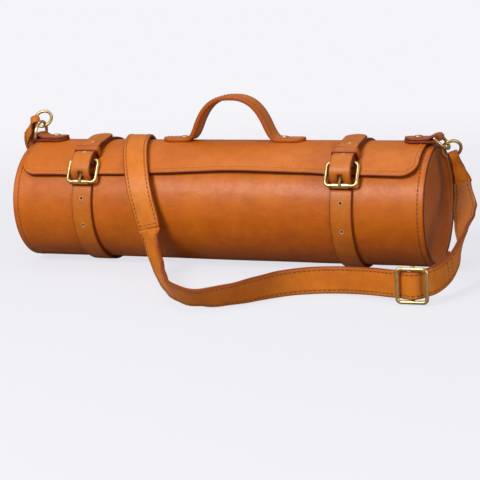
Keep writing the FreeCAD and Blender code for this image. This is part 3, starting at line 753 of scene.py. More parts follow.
EDGE_STEPS = (0.0, 0.45, 1.1, 2.2, 3.6)
SLOT_HALF = 1.9


def strap(name: str, stations: Sequence[Station], finish: Finish, layers: Layers = Layers.ONE,
          crown: float = 0.12, closed: bool = False, slot: Callable[[int], bool] | None = None,
          plain: tuple[int, ...] = ()) -> bpy.types.Object:
    """A strap through its sections.

    Args:
        name: The piece's name.
        stations: Its sections.
        finish: What it is dressed in.
        layers: How its edge is made.
        crown: How far its middle stands proud, in millimetres.
        closed: Whether it is a loop.
        slot: Which sections have a slot for the prong.
        plain: Sections at which it is butted to another piece.

    Returns:
        The strap.
    """
    outer, inner = [], []
    for station in stations:
        scale = min(1.0, station.half / 6.0)
        left = [-station.half + step * scale for step in EDGE_STEPS]
        middle = min(SLOT_HALF, station.half * 0.3)
        places = left + [-middle, 0.0, middle] + [-value for value in reversed(left)]
        outer.append([station.point(a, 1.0, crown) for a in places])
        inner.append([station.point(a, -1.0) for a in places])
    low = len(EDGE_STEPS)
    missing = (lambda i, j: slot(i) and low <= j <= low + 1) if slot else None
    return leather_sheet(name, outer, inner, finish, closed, missing, layers, plain)


@dataclass(frozen=True)
class Stitching:
    """A row of sewing: thread sizes in millimetres."""

    pitch: float = 4.4
    length: float = 3.1
    thick: float = 0.42
    sink: float = 0.5

    def sew(self, name: str, runs: Sequence[Sequence[tuple[Vector, Vector]]],
            finish: Finish = THREAD) -> bpy.types.Object:
        """Sew runs of points.

        Args:
            name: The piece's name.
            runs: Each a list of points with the leather's direction outwards there.
            finish: The thread.

        Returns:
            All the stitches as one piece.
        """
        points: list[Vector] = []
        faces: list[list[int]] = []
        for run in runs:
            line = Line([place for place, _ in run])
            count = max(1, int(line.length / self.pitch))
            pitch = line.length / count
            for number in range(count):
                first = number * pitch + (pitch - self.length) / 2
                self._stitch(line, [up for _, up in run], first, points, faces)
        return finished(closed_mesh(name, points, faces), finish)

    def _stitch(self, line: Line, ups: Sequence[Vector], first: float, points: list[Vector],
                faces: list[list[int]]) -> None:
        """One stitch: a short swollen strand whose ends go down into its holes."""
        shape = ((0.0, -1.0, 0.5), (0.16, 0.1, 0.92), (0.5, 0.42, 1.0), (0.84, 0.1, 0.92), (1.0, -1.0, 0.5))
        base = len(points)
        sides = 6
        for share, rise, girth in shape:
            far = first + share * self.length
            index, part = line.index(far)
            up = ups[index].lerp(ups[index + 1], part).normalized()
            side = line.way(far).cross(up).normalized()
            middle = line.at(far) + up * (rise * self.sink * MM)
            for corner in range(sides):
                turn = math.tau * corner / sides
                offset = side * math.cos(turn) + up * (math.sin(turn) * 0.8)
                points.append(middle + offset * (self.thick * girth * MM))
        for ring in range(len(shape) - 1):
            for corner in range(sides):
                a = base + ring * sides + corner
                b = base + ring * sides + (corner + 1) % sides
                faces.append([a, b, b + sides, a + sides])
        faces.append([base + corner for corner in range(sides)])
        last = base + (len(shape) - 1) * sides
        faces.append([last + corner for corner in reversed(range(sides))])


def edge_runs(stations: Sequence[Station], inset: float, sides: Sequence[float] = (1.0,),
              crown: float = 0.0, trim: int = 0) -> list[list[tuple[Vector, Vector]]]:
    """Sewing lines along both edges of a strap.

    Args:
        stations: The strap's sections.
        inset: Distance in from its edges, in millimetres.
        sides: The faces that show the sewing.
        crown: The strap's crown.
        trim: Sections left out at each end.

    Returns:
        The runs for Stitching.sew.
    """
    used = stations[trim:len(stations) - trim] if trim else stations
    used = [s for s in used if s.half > inset + 1.0]
    return [
        [(s.point(hand * (s.half - inset), side, crown), s.face * side) for s in used]
        for side in sides for hand in (-1.0, 1.0)
    ]


def turned(name: str, outline: Sequence[tuple[float, float]], place: Vector, axis: Vector,
           finish: Finish, segments: int = 32, rims: Sequence[float] | None = None) -> bpy.types.Object:
    """A turned piece from its outline, both ends on its axis.

    Args:
        name: The piece's name.
        outline: Radii and heights, in millimetres.
        place: Where height 0 is, in metres.
        axis: The way that heights rise.
        finish: What it is dressed in.
        segments: Steps round it.
        rims: A distance from the cut edge for each point of the outline.

    Returns:
        The piece.
    """
    frame_turn = axis.to_track_quat("Z", "X").to_matrix()
    points: list[Vector] = []
    rim: list[float] = []
    faces: list[list[int]] = []
    rings: list[list[int]] = []
    for index, (radius, height) in enumerate(outline):
        ring = []
        for step in range(segments if radius > 1e-6 else 1):
            turn = math.tau * step / segments
            local = Vector((radius * math.cos(turn), radius * math.sin(turn), height)) * MM
            ring.append(len(points))
            points.append(place + frame_turn @ local)
            rim.append(rims[index] if rims else 12.0)
        rings.append(ring)
    for ring, following in zip(rings, rings[1:]):
        for step in range(segments):
            after = (step + 1) % segments
            loop = [ring[step % len(ring)], ring[after % len(ring)],
                    following[after % len(following)], following[step % len(following)]]
            loop = list(dict.fromkeys(loop))
            if len(loop) > 2:
                faces.append(loop)
    return finished(closed_mesh(name, points, faces, rim=rim, flesh=[0.0] * len(points)), finish)


def joined(name: str, parts: Sequence[bpy.types.Object]) -> bpy.types.Object:
    """Make one piece of several."""
    work = bmesh.new()
    for part in parts:
        work.from_mesh(part.data)
    mesh = bpy.data.meshes.new(name)
    work.to_mesh(mesh)
    work.free()
    material = parts[0].data.materials[0]
    for part in parts:
        bpy.data.objects.remove(part)
    mesh.materials.append(material)
    piece = bpy.data.objects.new(name, mesh)
    bpy.context.scene.collection.objects.link(piece)
    return piece


@dataclass(frozen=True)
class Punch:
    """A round punch for the holes of a strap."""

    radius: float = 1.6
    rim: float = 0.62
    depth: float = 6.0

    def strike(self, piece: bpy.types.Object, name: str,
               holes: Sequence[tuple[Vector, Vector]]) -> bpy.types.Object:
        """Cut holes in a strap and leave their raw rims.

        Args:
            piece: The strap.
            name: The rims' name.
            holes: Each hole's place on the grain side, and the direction outwards.

        Returns:
            The raw rims of all the holes, as one piece.
        """
        rims = []
        work = bmesh.new()
        for place, up in holes:
            turn = up.to_track_quat("Z", "X").to_matrix().to_4x4()
            bmesh.ops.create_cone(
                work, cap_ends=True, segments=20, radius1=self.radius * MM, radius2=self.radius * MM,
                depth=self.depth * MM, matrix=Matrix.Translation(place) @ turn)
            inner, outer = self.radius - 0.12, self.radius + self.rim
            outline = [(inner, -1.6), (inner, 0.02), (inner + 0.2, 0.16), (outer - 0.25, 0.16),
                       (outer, 0.02), (outer, -0.3), (inner + 0.25, -1.6), (inner, -1.6)]
            rims.append(turned(name + "_rim", outline, place, up, RAW, 24))
        mesh = bpy.data.meshes.new(name + "_punch")
        work.to_mesh(mesh)
        work.free()
        cutter = bpy.data.objects.new(name + "_punch", mesh)
        bpy.context.scene.collection.objects.link(cutter)
        modifier = piece.modifiers.new("punched", "BOOLEAN")
        modifier.operation = "DIFFERENCE"
        modifier.solver = "EXACT"
        modifier.object = cutter
        bpy.context.view_layer.update()
        evaluated = piece.evaluated_get(bpy.context.evaluated_depsgraph_get())
        punched = bpy.data.meshes.new_from_object(evaluated)
        piece.modifiers.clear()
        piece.data = punched
        bpy.data.objects.remove(cutter)
        return joined(name, rims)


# The case


@dataclass
class Tube:
    """The long tube with its mouth, and the dished discs sewn into its ends."""

    radius: float = TUBE_RADIUS
    wall: float = TUBE_WALL
    half: float = TUBE_HALF
    mouth_half: float = 206.0
    mouth_angles: tuple[float, float] = (-14.0, 46.0)
    seam: float = 6.0
    dent: float = 0.55
    disc_radius: float = 56.6
    disc_back: float = 213.0

    def skin(self, x: float, angle: float) -> float:
        """The radius of the tube's grain side at a place: hides are never quite true."""
        where = Vector((x * 0.012, math.cos(math.radians(angle)) * 1.1, math.sin(math.radians(angle)) * 1.1))
        lump = 0.5 + 0.5 * noise.noise(where) + 0.22 * noise.noise(where * 3.1)
        strap_pull = math.exp(-((abs(x) - CLOSURE_OFFSET) / 15.0) ** 2)
        ends = eased(self.half - abs(x), 3.0, 30.0)
        return self.radius - self.dent * max(0.0, lump) * ends - 0.35 * strap_pull

    def build(self) -> None:
        """Build and dress the tube and its ends."""
        step = 2.0
        ends = (0.0, 0.6, 1.4, 2.6, 4.0, 5.2, 6.0, 6.8, 9.0)
        places = [-self.half + e for e in ends]
        count = 84
        low = -self.half + 14.0
        inside = [low + (2 * -low) * n / count for n in range(count + 1)]
        near = [min(inside, key=lambda x: abs(x - s * self.mouth_half)) for s in (-1, 1)]
        inside = [self.mouth_half * math.copysign(1, x) if x in near else x for x in inside]
        places += inside + [-x for x in reversed(places)]
        angles = [n * step for n in range(int(360 / step))]
        outer = [[polar(a, self.skin(x, a), x) for x in places] for a in angles]
        inner = [[polar(a, self.radius - self.wall, x) for x in places] for a in angles]

        def missing(i: int, j: int) -> bool:
            """Whether a cell lies in the mouth."""
            angle = (angles[i] + step / 2 + 180) % 360 - 180
            x = (places[j] + places[j + 1]) / 2
            return self.mouth_angles[0] < angle < self.mouth_angles[1] and abs(x) < self.mouth_half

        panel = leather_sheet("barrel_hide", outer, inner, CASE_LEATHER, True, missing)
        attach(panel, "barrel", "leather", "barrel_panel")
        runs = []
        for sign in (-1, 1):
            x = sign * (self.half - self.seam)
            around = [n * 3.0 for n in range(121)]
            runs.append([(polar(a, self.skin(x, a), x), outward(a)) for a in around])
        attach(Stitching().sew("barrel_stitches", runs), "barrel", "leather")
        for side in Side:
            self.disc(side)

    def disc(self, side: Side) -> None:
        """One dished end: a disc with a turned flange whose edge is left raw."""
        top = 6.85
        outline = [
            (0.0, 0.0), (self.disc_radius, 0.0), (self.disc_radius, top - 0.5),
            (self.disc_radius - 0.5, top), (self.disc_radius - 2.3, top),
            (self.disc_radius - 3.0, top - 0.6),
            (self.disc_radius - 3.2, 4.6), (self.disc_radius - 4.2, 3.4), (self.disc_radius - 6.5, 3.0),
            (45.0, 2.7), (36.0, 2.3), (24.0, 2.1), (12.0, 2.2), (5.0, 2.3), (0.0, 2.3),
        ]
        rims = [12.0, 12.0, 0.4, -1.0, -1.0, 0.4, 3.0, 5.0, 8.0] + [12.0] * 6
        sign = side.value
        place = Vector((sign * self.disc_back, 0.0, AXIS_HEIGHT)) * MM
        axis = Vector((sign, 0.0, 0.0))
        disc = turned(f"end_disc_{side.word}", outline, place, axis, CAP_LEATHER, 120, rims)
        attach(disc, "barrel", "lining_leather", f"end_cap_{side.word}")


@dataclass
class Flap:
    """The flap and the strip behind its fold, cut from one hide."""

    half: float = 212.0
    back: float = -45.0
    corner: float = 16.0
    seam: float = 5.2
    lift: float = 2.3
    edge: tuple[tuple[float, float], ...] = (
        (-212.0, 57.6), (-156.0, 57.2), (-139.0, 56.2), (-108.0, 55.8), (-64.0, 54.4), (22.0, 51.0),
        (96.0, 52.0), (137.0, 53.4), (196.0, 54.6), (212.0, 54.6))

    def front(self, x: float) -> float:
        """The angle of the front edge, before its corners are rounded."""
        return table(x, self.edge)

    def degrees(self, length: float) -> float:
        """The angle that a length takes up round the flap."""
        return math.degrees(length / FLAP_OUTER)

    def rounded(self, x: float, corner: float, inset: float) -> float:
        """The edge's angle at a place, with a rounded corner, set in by a distance."""
        into = max(0.0, corner - (self.half - inset - abs(x)))
        drop = corner - math.sqrt(max(0.0, corner ** 2 - into ** 2))
        return self.front(x) - self.degrees(drop + inset)

    def skin(self, x: float, angle: float) -> float:
        """The radius of the flap's grain side: it stands off the tube between the straps."""
        held = math.exp(-((abs(x) - CLOSURE_OFFSET) / 19.0) ** 2)
        crossed = 0.75 * math.exp(-((x + 84.0) / 24.0) ** 2)
        free = max(0.0, 1 - held) * (1 - crossed)
        where = Vector((x * 0.016, angle * 0.045, 3.0))
        wave = 0.72 + 0.45 * noise.noise(where)
        return FLAP_OUTER + self.lift * free * wave * eased(angle, 26.0, 53.0)

    def build(self) -> None:
        """Build and dress the flap and its sewing."""
        turns = [math.radians(7.5 * n) for n in range(12)]
        places = [-self.half + self.corner * (1 - math.cos(t)) for t in turns]
        straight = self.half - self.corner
        places += [-straight + 2 * straight * n / 96 for n in range(97)] + [-x for x in reversed(places)]
        near = (0.0, 0.6, 1.4, 2.8, 4.4, 6.0, 8.0)
        columns = []
        for x in places:
            length = math.radians(self.rounded(x, self.corner, 0.0) - self.back) * FLAP_OUTER
            middle = [8.0 + (length - 16.0) * n / 38 for n in range(1, 38)]
            columns.append([*near, *middle, *(length - e for e in reversed(near))])
        outer, inner = [], []
        for x, marks in zip(places, columns):
            angles = [self.back + self.degrees(mark) for mark in marks]
            outer.append([polar(a, self.skin(x, a), x) for a in angles])
            inner.append([polar(a, self.skin(x, a) - FLAP_WALL, x) for a in angles])
        hide = leather_sheet("flap_hide", outer, inner, FLAP_LEATHER, layers=Layers.TWO)
        start, end = polar(FOLD_ANGLE - 6, FLAP_OUTER), polar(FOLD_ANGLE + 6, FLAP_OUTER)
        bend(hide, "leather", start, end, "flap", "flap_anchor")
        bend(Stitching(4.5, 3.2).sew("flap_stitches", [self.outline()], TAN_THREAD), "leather", start, end)

    def outline(self) -> list[tuple[Vector, Vector]]:
        """The sewing line round the flap's four sides."""
        inner_corner = self.corner - self.seam
        side = self.half - self.seam
        back = self.back + self.degrees(self.seam)
        path = []
        corner_start = self.rounded(side, inner_corner, self.seam)
        path += [(-side, back + (corner_start - back) * n / 24) for n in range(24)]
        xs = [-side + inner_corner * (1 - math.cos(math.radians(6 * n))) for n in range(15)]
        straight = side - inner_corner
        xs += [-straight + 2 * straight * n / 90 for n in range(91)] + [-x for x in reversed(xs)]
        path += [(x, self.rounded(x, inner_corner, self.seam)) for x in xs]
        path += [(side, corner_start + (back - corner_start) * n / 24) for n in range(1, 25)]
        path += [(side - 2 * side * n / 90, back) for n in range(1, 91)]
        return [(polar(a, self.skin(x, a), x), outward(a)) for x, a in path]


@dataclass
class Closure:
    """One buckled strap: the strap on the flap, the billet, its threaded tail and the keeper."""

    side: Side
    half: float = CLOSURE_HALF
    wall: float = CLOSURE_WALL
    keeper_angle: float = 34.4
    keeper_half: float = 12.2
    keeper_top: float = 73.4
    billet_middle: float = 61.4
    billet_angles: tuple[float, float] = (66.6, 313.0)
    hole_angles: tuple[float, ...] = (79.0, 105.0)
    tail_holes: tuple[float, ...] = (39.2, 23.5)
    tail: tuple[tuple[float, float], ...] = (
        (66.0, 61.4), (63.6, 61.45), (61.3, 62.6), (60.0, 65.4), (58.9, 68.6), (57.0, 71.3), (54.0, 73.3),
        (50.0, 74.3), (46.0, 74.6), (42.0, 74.2), (38.5, 72.6), (35.0, 71.0), (31.0, 70.4), (26.0, 70.1),
        (20.5, 69.0), (15.5, 67.8), (5.2, 67.7), (-5.0, 68.6))
    x: float = field(init=False)

    def __post_init__(self) -> None:
        """Place the closure along the case."""
        self.x = self.side.value * CLOSURE_OFFSET

    def build(self) -> None:
        """Build and dress the closure."""
        self.buckle_strap()
        self.billet()
        self.threaded_tail()
        self.keeper()

    def buckle_strap(self) -> None:
        """The strap that crosses the fold, goes round the heel bar and comes back over itself."""
        middle = (STRAP_INNER + STRAP_OUTER) / 2
        knots = [polar(a, middle, self.x) for a in range(-45, 41, 5)]
        heel = polar(HEEL_ANGLE, HEEL_RADIUS, self.x)
        up = outward(HEEL_ANGLE)
        ahead = Vector((0.0, -up.z, up.y))
        loop_radius = HEEL_RADIUS - middle
        for turn in (10, 40, 70, 100, 130, 158):
            angle = math.radians(turn)
            knots.append(heel + (ahead * math.sin(angle) - up * math.cos(angle)) * (loop_radius * MM))
        back = ((40.4, 70.5), (37.6, 68.6), (34.5, 67.6), (30.0, 67.4), (25.0, 67.4))
        knots += [polar(a, r, self.x) for a, r in back]
        line = Line.smooth(knots, 6)
        stations = stations_on(line, Vector((1.0, 0.0, 0.0)), self.half, self.wall, -1.0, 1.8)
        loop = [(s.place - heel).length < (loop_radius + 0.9) * MM for s in stations]
        word = self.side.word
        piece = strap(f"buckle_strap_hide_{word}", stations, CLOSURE_LEATHER, slot=lambda i: loop[i])
        start, end = polar(FOLD_ANGLE - 6, FLAP_OUTER), polar(FOLD_ANGLE + 6, FLAP_OUTER)
        bend(piece, "leather", start, end, f"buckle_strap_{word}", f"buckle_strap_root_{word}")

    def billet(self) -> None:
        """The strap from the back rivet, under the tube and up its front, with its holes."""
        first, last = self.billet_angles
        knots = [polar(first + (last - first) * n / 60, self.billet_middle, self.x) for n in range(61)]
        line = Line.smooth(knots, 2)
        across = Vector((1.0, 0.0, 0.0))
        stations = stations_on(line, across, self.half, self.wall, -1.0, 3.0, (False, True))
        word = self.side.word
        piece = strap(f"billet_hide_{word}", stations, CLOSURE_LEATHER)
        grain = self.billet_middle + self.wall / 2 + 0.1
        holes = [(polar(a, grain, self.x), outward(a)) for a in self.hole_angles]
        rims = Punch().strike(piece, f"billet_holes_{word}", holes)
        attach(piece, "barrel", "leather", f"billet_{word}")
        attach(rims, "barrel", "leather")

    def threaded_tail(self) -> None:
        """The billet's end, through the buckle, under the keeper and on to its tip."""
        line = Line.smooth([polar(a, r, self.x) for a, r in self.tail], 8)
        across = Vector((1.0, 0.0, 0.0))
        stations = stations_on(line, across, self.half, self.wall, 1.0, 1.6, (False, True))
        angles = [self.angle_of(s.place) for s in stations]
        slot = [57.0 < a < 60.6 for a in angles]
        word = self.side.word
        piece = strap(f"billet_tail_hide_{word}", stations, CLOSURE_LEATHER, slot=lambda i: slot[i])
        holes = []
        for angle in self.tail_holes:
            station = min(stations, key=lambda s: abs(self.angle_of(s.place) - angle))
            holes.append((station.point(0.0, 1.0, 0.12), station.face))
        rims = Punch(depth=2 * self.wall).strike(piece, f"tail_holes_{word}", holes)
        attach(piece, "flap", "leather", f"billet_tail_{word}")
        attach(rims, "flap", "leather")

    @staticmethod
    def angle_of(place: Vector) -> float:
        """The angle round the tube of a point."""
        return math.degrees(math.atan2(-place.y, place.z - AXIS_HEIGHT * MM))

    def keeper(self) -> None:
        """The loop that straddles the strap and holds its tail down."""
        half, top = self.keeper_half, self.keeper_top
        corner = 1.8
        outline = [(-half, 64.0), (-half, 67.5), (-half, top - corner), (-half + 0.5, top - 0.5),
                   (-half + corner, top), (-half / 2, top + 0.1), (0.0, top + 0.15)]
        outline += [(-x, r) for x, r in reversed(outline[:-1])]
        line = Line.smooth([polar(self.keeper_angle, r, self.x + x) for x, r in outline], 6)
        up = outward(self.keeper_angle)
        across = Vector((0.0, up.z, -up.y))
        stations = stations_on(line, across, 4.0, 2.0, -1.0, 1.2)
        piece = strap(f"keeper_hide_{self.side.word}", stations, TAB_LEATHER, crown=0.2)
        attach(piece, "flap", "leather", f"keeper_{self.side.word}")


RIVET_Z = TUBE_RADIUS + AXIS_HEIGHT


@dataclass
class Rivet:
    """A domed rivet with its shank and the washer inside."""

    name: str
    low: Vector
    up: Vector
    reach: float

    def build(self) -> bpy.types.Object:
        """Turn the rivet."""
        top = self.reach
        outline = [
            (0.0, -1.0), (2.9, -1.0), (3.2, -0.7), (3.2, -0.1), (1.5, 0.0), (1.5, top), (3.9, top),
            (4.15, top + 0.3), (4.0, top + 0.62), (3.4, top + 1.0), (2.5, top + 1.25), (1.5, top + 1.38),
            (1.15, top + 1.3), (0.9, top + 1.1), (0.0, top + 1.05),
        ]
        return turned(self.name, outline, self.low, self.up, BRASS, 36)


@dataclass
class Handle:
    """The carrying handle: two layers sewn along both edges, on two rivets."""

    middle: float = 8.0
    half_span: float = 77.0
    rise: float = 41.6
    base: float = 128.5
    half: float = 10.5
    wall: float = 4.4
    seam: float = 2.6
    rivets: tuple[float, float] = (-47.0, 63.0)
    arch: tuple[tuple[float, float], ...] = (
        (0.0, 1.0), (11.0, 0.975), (21.0, 0.87), (29.0, 0.69), (35.0, 0.46), (40.0, 0.2), (44.0, 0.06),
        (47.5, 0.01), (52.0, 0.0), (60.0, 0.0), (68.0, 0.0))

    def build(self) -> None:
        """Build and dress the handle and its rivets."""
        half_line = [*self.arch, (self.half_span, 0.0)]
        knots = [
            Vector((self.middle - a, 0.0, self.base + u * self.rise)) * MM for a, u in reversed(half_line)]
        knots += [Vector((self.middle + a, 0.0, self.base + u * self.rise)) * MM for a, u in half_line[1:]]
        line = Line.smooth(knots, 8)
        across = Vector((0.0, 1.0, 0.0))
        stations = stations_on(line, across, self.half, self.wall, -1.0, 1.8, (True, True))
        for station in stations:
            flat = eased(abs(station.place.x / MM - self.middle), 38.0, 50.0)
            station.cup = 66.0 / max(0.02, flat * station.face.z)
            thin = 1.4 * eased(abs(station.place.x / MM - self.middle), 36.0, 60.0)
            station.wall -= thin
            station.place = station.place - station.face * (thin / 2 * MM)
        piece = strap("handle_hide", stations, HANDLE_LEATHER, Layers.TWO, crown=0.25)
        attach(piece, "flap", "leather", "handle")
        runs = edge_runs(stations, self.seam, (1.0, -1.0), 0.1)
        attach(Stitching(3.7, 2.6, 0.4).sew("handle_stitches", runs), "flap", "leather")
        low = AXIS_HEIGHT + FLAP_OUTER - FLAP_WALL - 0.2
        reach = self.base + self.wall / 2 - 1.2 - low
        heads = [
            Rivet(f"handle_rivet_{n}", Vector((x, 0.0, low)) * MM, Vector((0, 0, 1)), reach).build()
            for n, x in enumerate(self.rivets)
        ]
        attach(joined("handle_rivet_pair", heads), "flap", "brass", "handle_rivets")


@dataclass
class BackRivets:
    """The rivets that hold the billets to the back of the tube."""

    angle: float = -55.0
    low: float = 56.65
    high: float = 62.75

    def build(self) -> None:
        """Turn and place both rivets."""
        for side in Side:
            place = polar(self.angle, self.low, side.value * CLOSURE_OFFSET)
            reach = self.high - self.low
            rivet = Rivet(f"back_rivet_{side.word}", place, outward(self.angle), reach).build()
            attach(rivet, "barrel", "brass", f"billet_rivet_{side.word}")


@dataclass
class RingTab:
    """A short tab folded round a dee ring's bar and riveted to the flap."""

    side: Side
    fold: float
    length: float = 33.0
    half: float = 10.0
    wall: float = 2.4
    loop: float = 3.1
    rivet_inset: float = 19.0

    def build(self) -> None:
        """Build and dress the tab and its rivet."""
        sign, fold = self.side.value, self.fold
        low, high, centre = TAB_BASE + 1.2, TAB_BASE + 3.6, TAB_BASE + 4.3
        path = [(fold - self.length, low), (fold - 20, low), (fold - 9, low), (fold - 2, low)]
        for turn in (-75, -50, -25, 0, 25, 50, 75):
            angle = math.radians(turn)
            path.append((fold + self.loop * math.cos(angle), centre + self.loop * math.sin(angle)))
        path += [(fold - 1.8, centre + 2.7), (fold - 5.0, high + 1.6), (fold - 8.6, high + 0.25),
                 (fold - 14, high), (fold - 24, high), (fold - self.length + 0.6, high)]
        line = Line.smooth([Vector((sign * x, TAB_SIDE, z)) * MM for x, z in path], 6)
        across = Vector((0.0, 1.0, 0.0))
        stations = stations_on(line, across, self.half, self.wall, float(sign), 1.5, (True, True))
        for station in stations:
            lean = station.face.z if abs(station.face.z) > 0.05 else 0.05
            station.cup = 66.0 / lean
        word = self.side.word
        attach(strap(f"ring_tab_hide_{word}", stations, TAB_LEATHER), "flap", "leather", f"ring_tab_{word}")
        low_end = Vector((sign * (fold - self.rivet_inset), TAB_SIDE, RIVET_Z - 0.2)) * MM
        reach = TAB_BASE + 2 * self.wall + 0.1 - RIVET_Z + 0.2
        rivet = Rivet(f"tab_rivet_head_{word}", low_end, Vector((0, 0, 1)), reach).build()
        attach(rivet, "flap", "brass", f"tab_rivet_{word}")


@dataclass
class StrapLoop:
    """The strap's folded end round a ring; its two layers hold the shoulder strap between them."""

    side: Side
    axis: Vector
    way: Vector
    ring_radius: float = 9.4
    half: float = 4.5
    wall: float = 2.2
    inner: float = 2.8
    far: Vector = field(init=False)
    tongue: Vector = field(init=False)
    along: Vector = field(init=False)

    def __post_init__(self) -> None:
        """Find where the loop lies on its ring."""
        low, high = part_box(f"round_ring_{self.side.word}")
        middle = (Vector(low) + Vector(high)) / 2
        sagitta = self.ring_radius - math.sqrt(self.ring_radius ** 2 - self.half ** 2)
        away = (self.way - self.axis * self.way.dot(self.axis)).normalized()
        self.far = middle + away * ((self.ring_radius - sagitta / 2) * MM)
        self.along = self.axis.cross(away).normalized()
        self.tongue = (self.way - self.along * self.way.dot(self.along)).normalized()

    def end(self) -> Vector:
        """Where the shoulder strap starts."""
        return self.far + self.tongue * (26.3 * MM)

    def build(self) -> None:
        """Build and dress the folded end."""
        thick = self.along.cross(self.tongue).normalized()
        radius = self.inner + self.wall / 2
        path = [(31.0, 2.9), (26.0, 2.8), (21.0, 2.3), (14.0, 1.5), (8.5, 1.9), (5.0, 2.9)]
        for turn in (60, 90, 125, 160):
            angle = math.radians(turn)
            path.append((radius * math.cos(angle), radius * math.sin(angle)))
        path += [(-radius, 0.0)] + [(a, -b) for a, b in reversed(path)]
        knots = [self.far + (self.tongue * a + thick * b) * MM for a, b in path]
        line = Line.smooth(knots, 6)
        stations = stations_on(line, self.along, self.half, self.wall, 1.0, 1.3)
        turn_sign = 1.0 if stations[len(stations) // 2].face.dot(self.tongue) < 0 else -1.0
        for station in stations:
            station.face = station.face * turn_sign
            reach = (station.place - self.far).dot(self.tongue) / MM
            station.half = table(reach, ((4.0, self.half), (18.0, 6.4), (31.0, 8.4)))
        word = self.side.word
        piece = strap(f"strap_end_{word}", stations, STRAP_LEATHER)
        attach(piece, f"ring_{word}", "strap_leather", f"strap_loop_{word}")


Knot = tuple[tuple[float, float, float], tuple[float, float, float]]


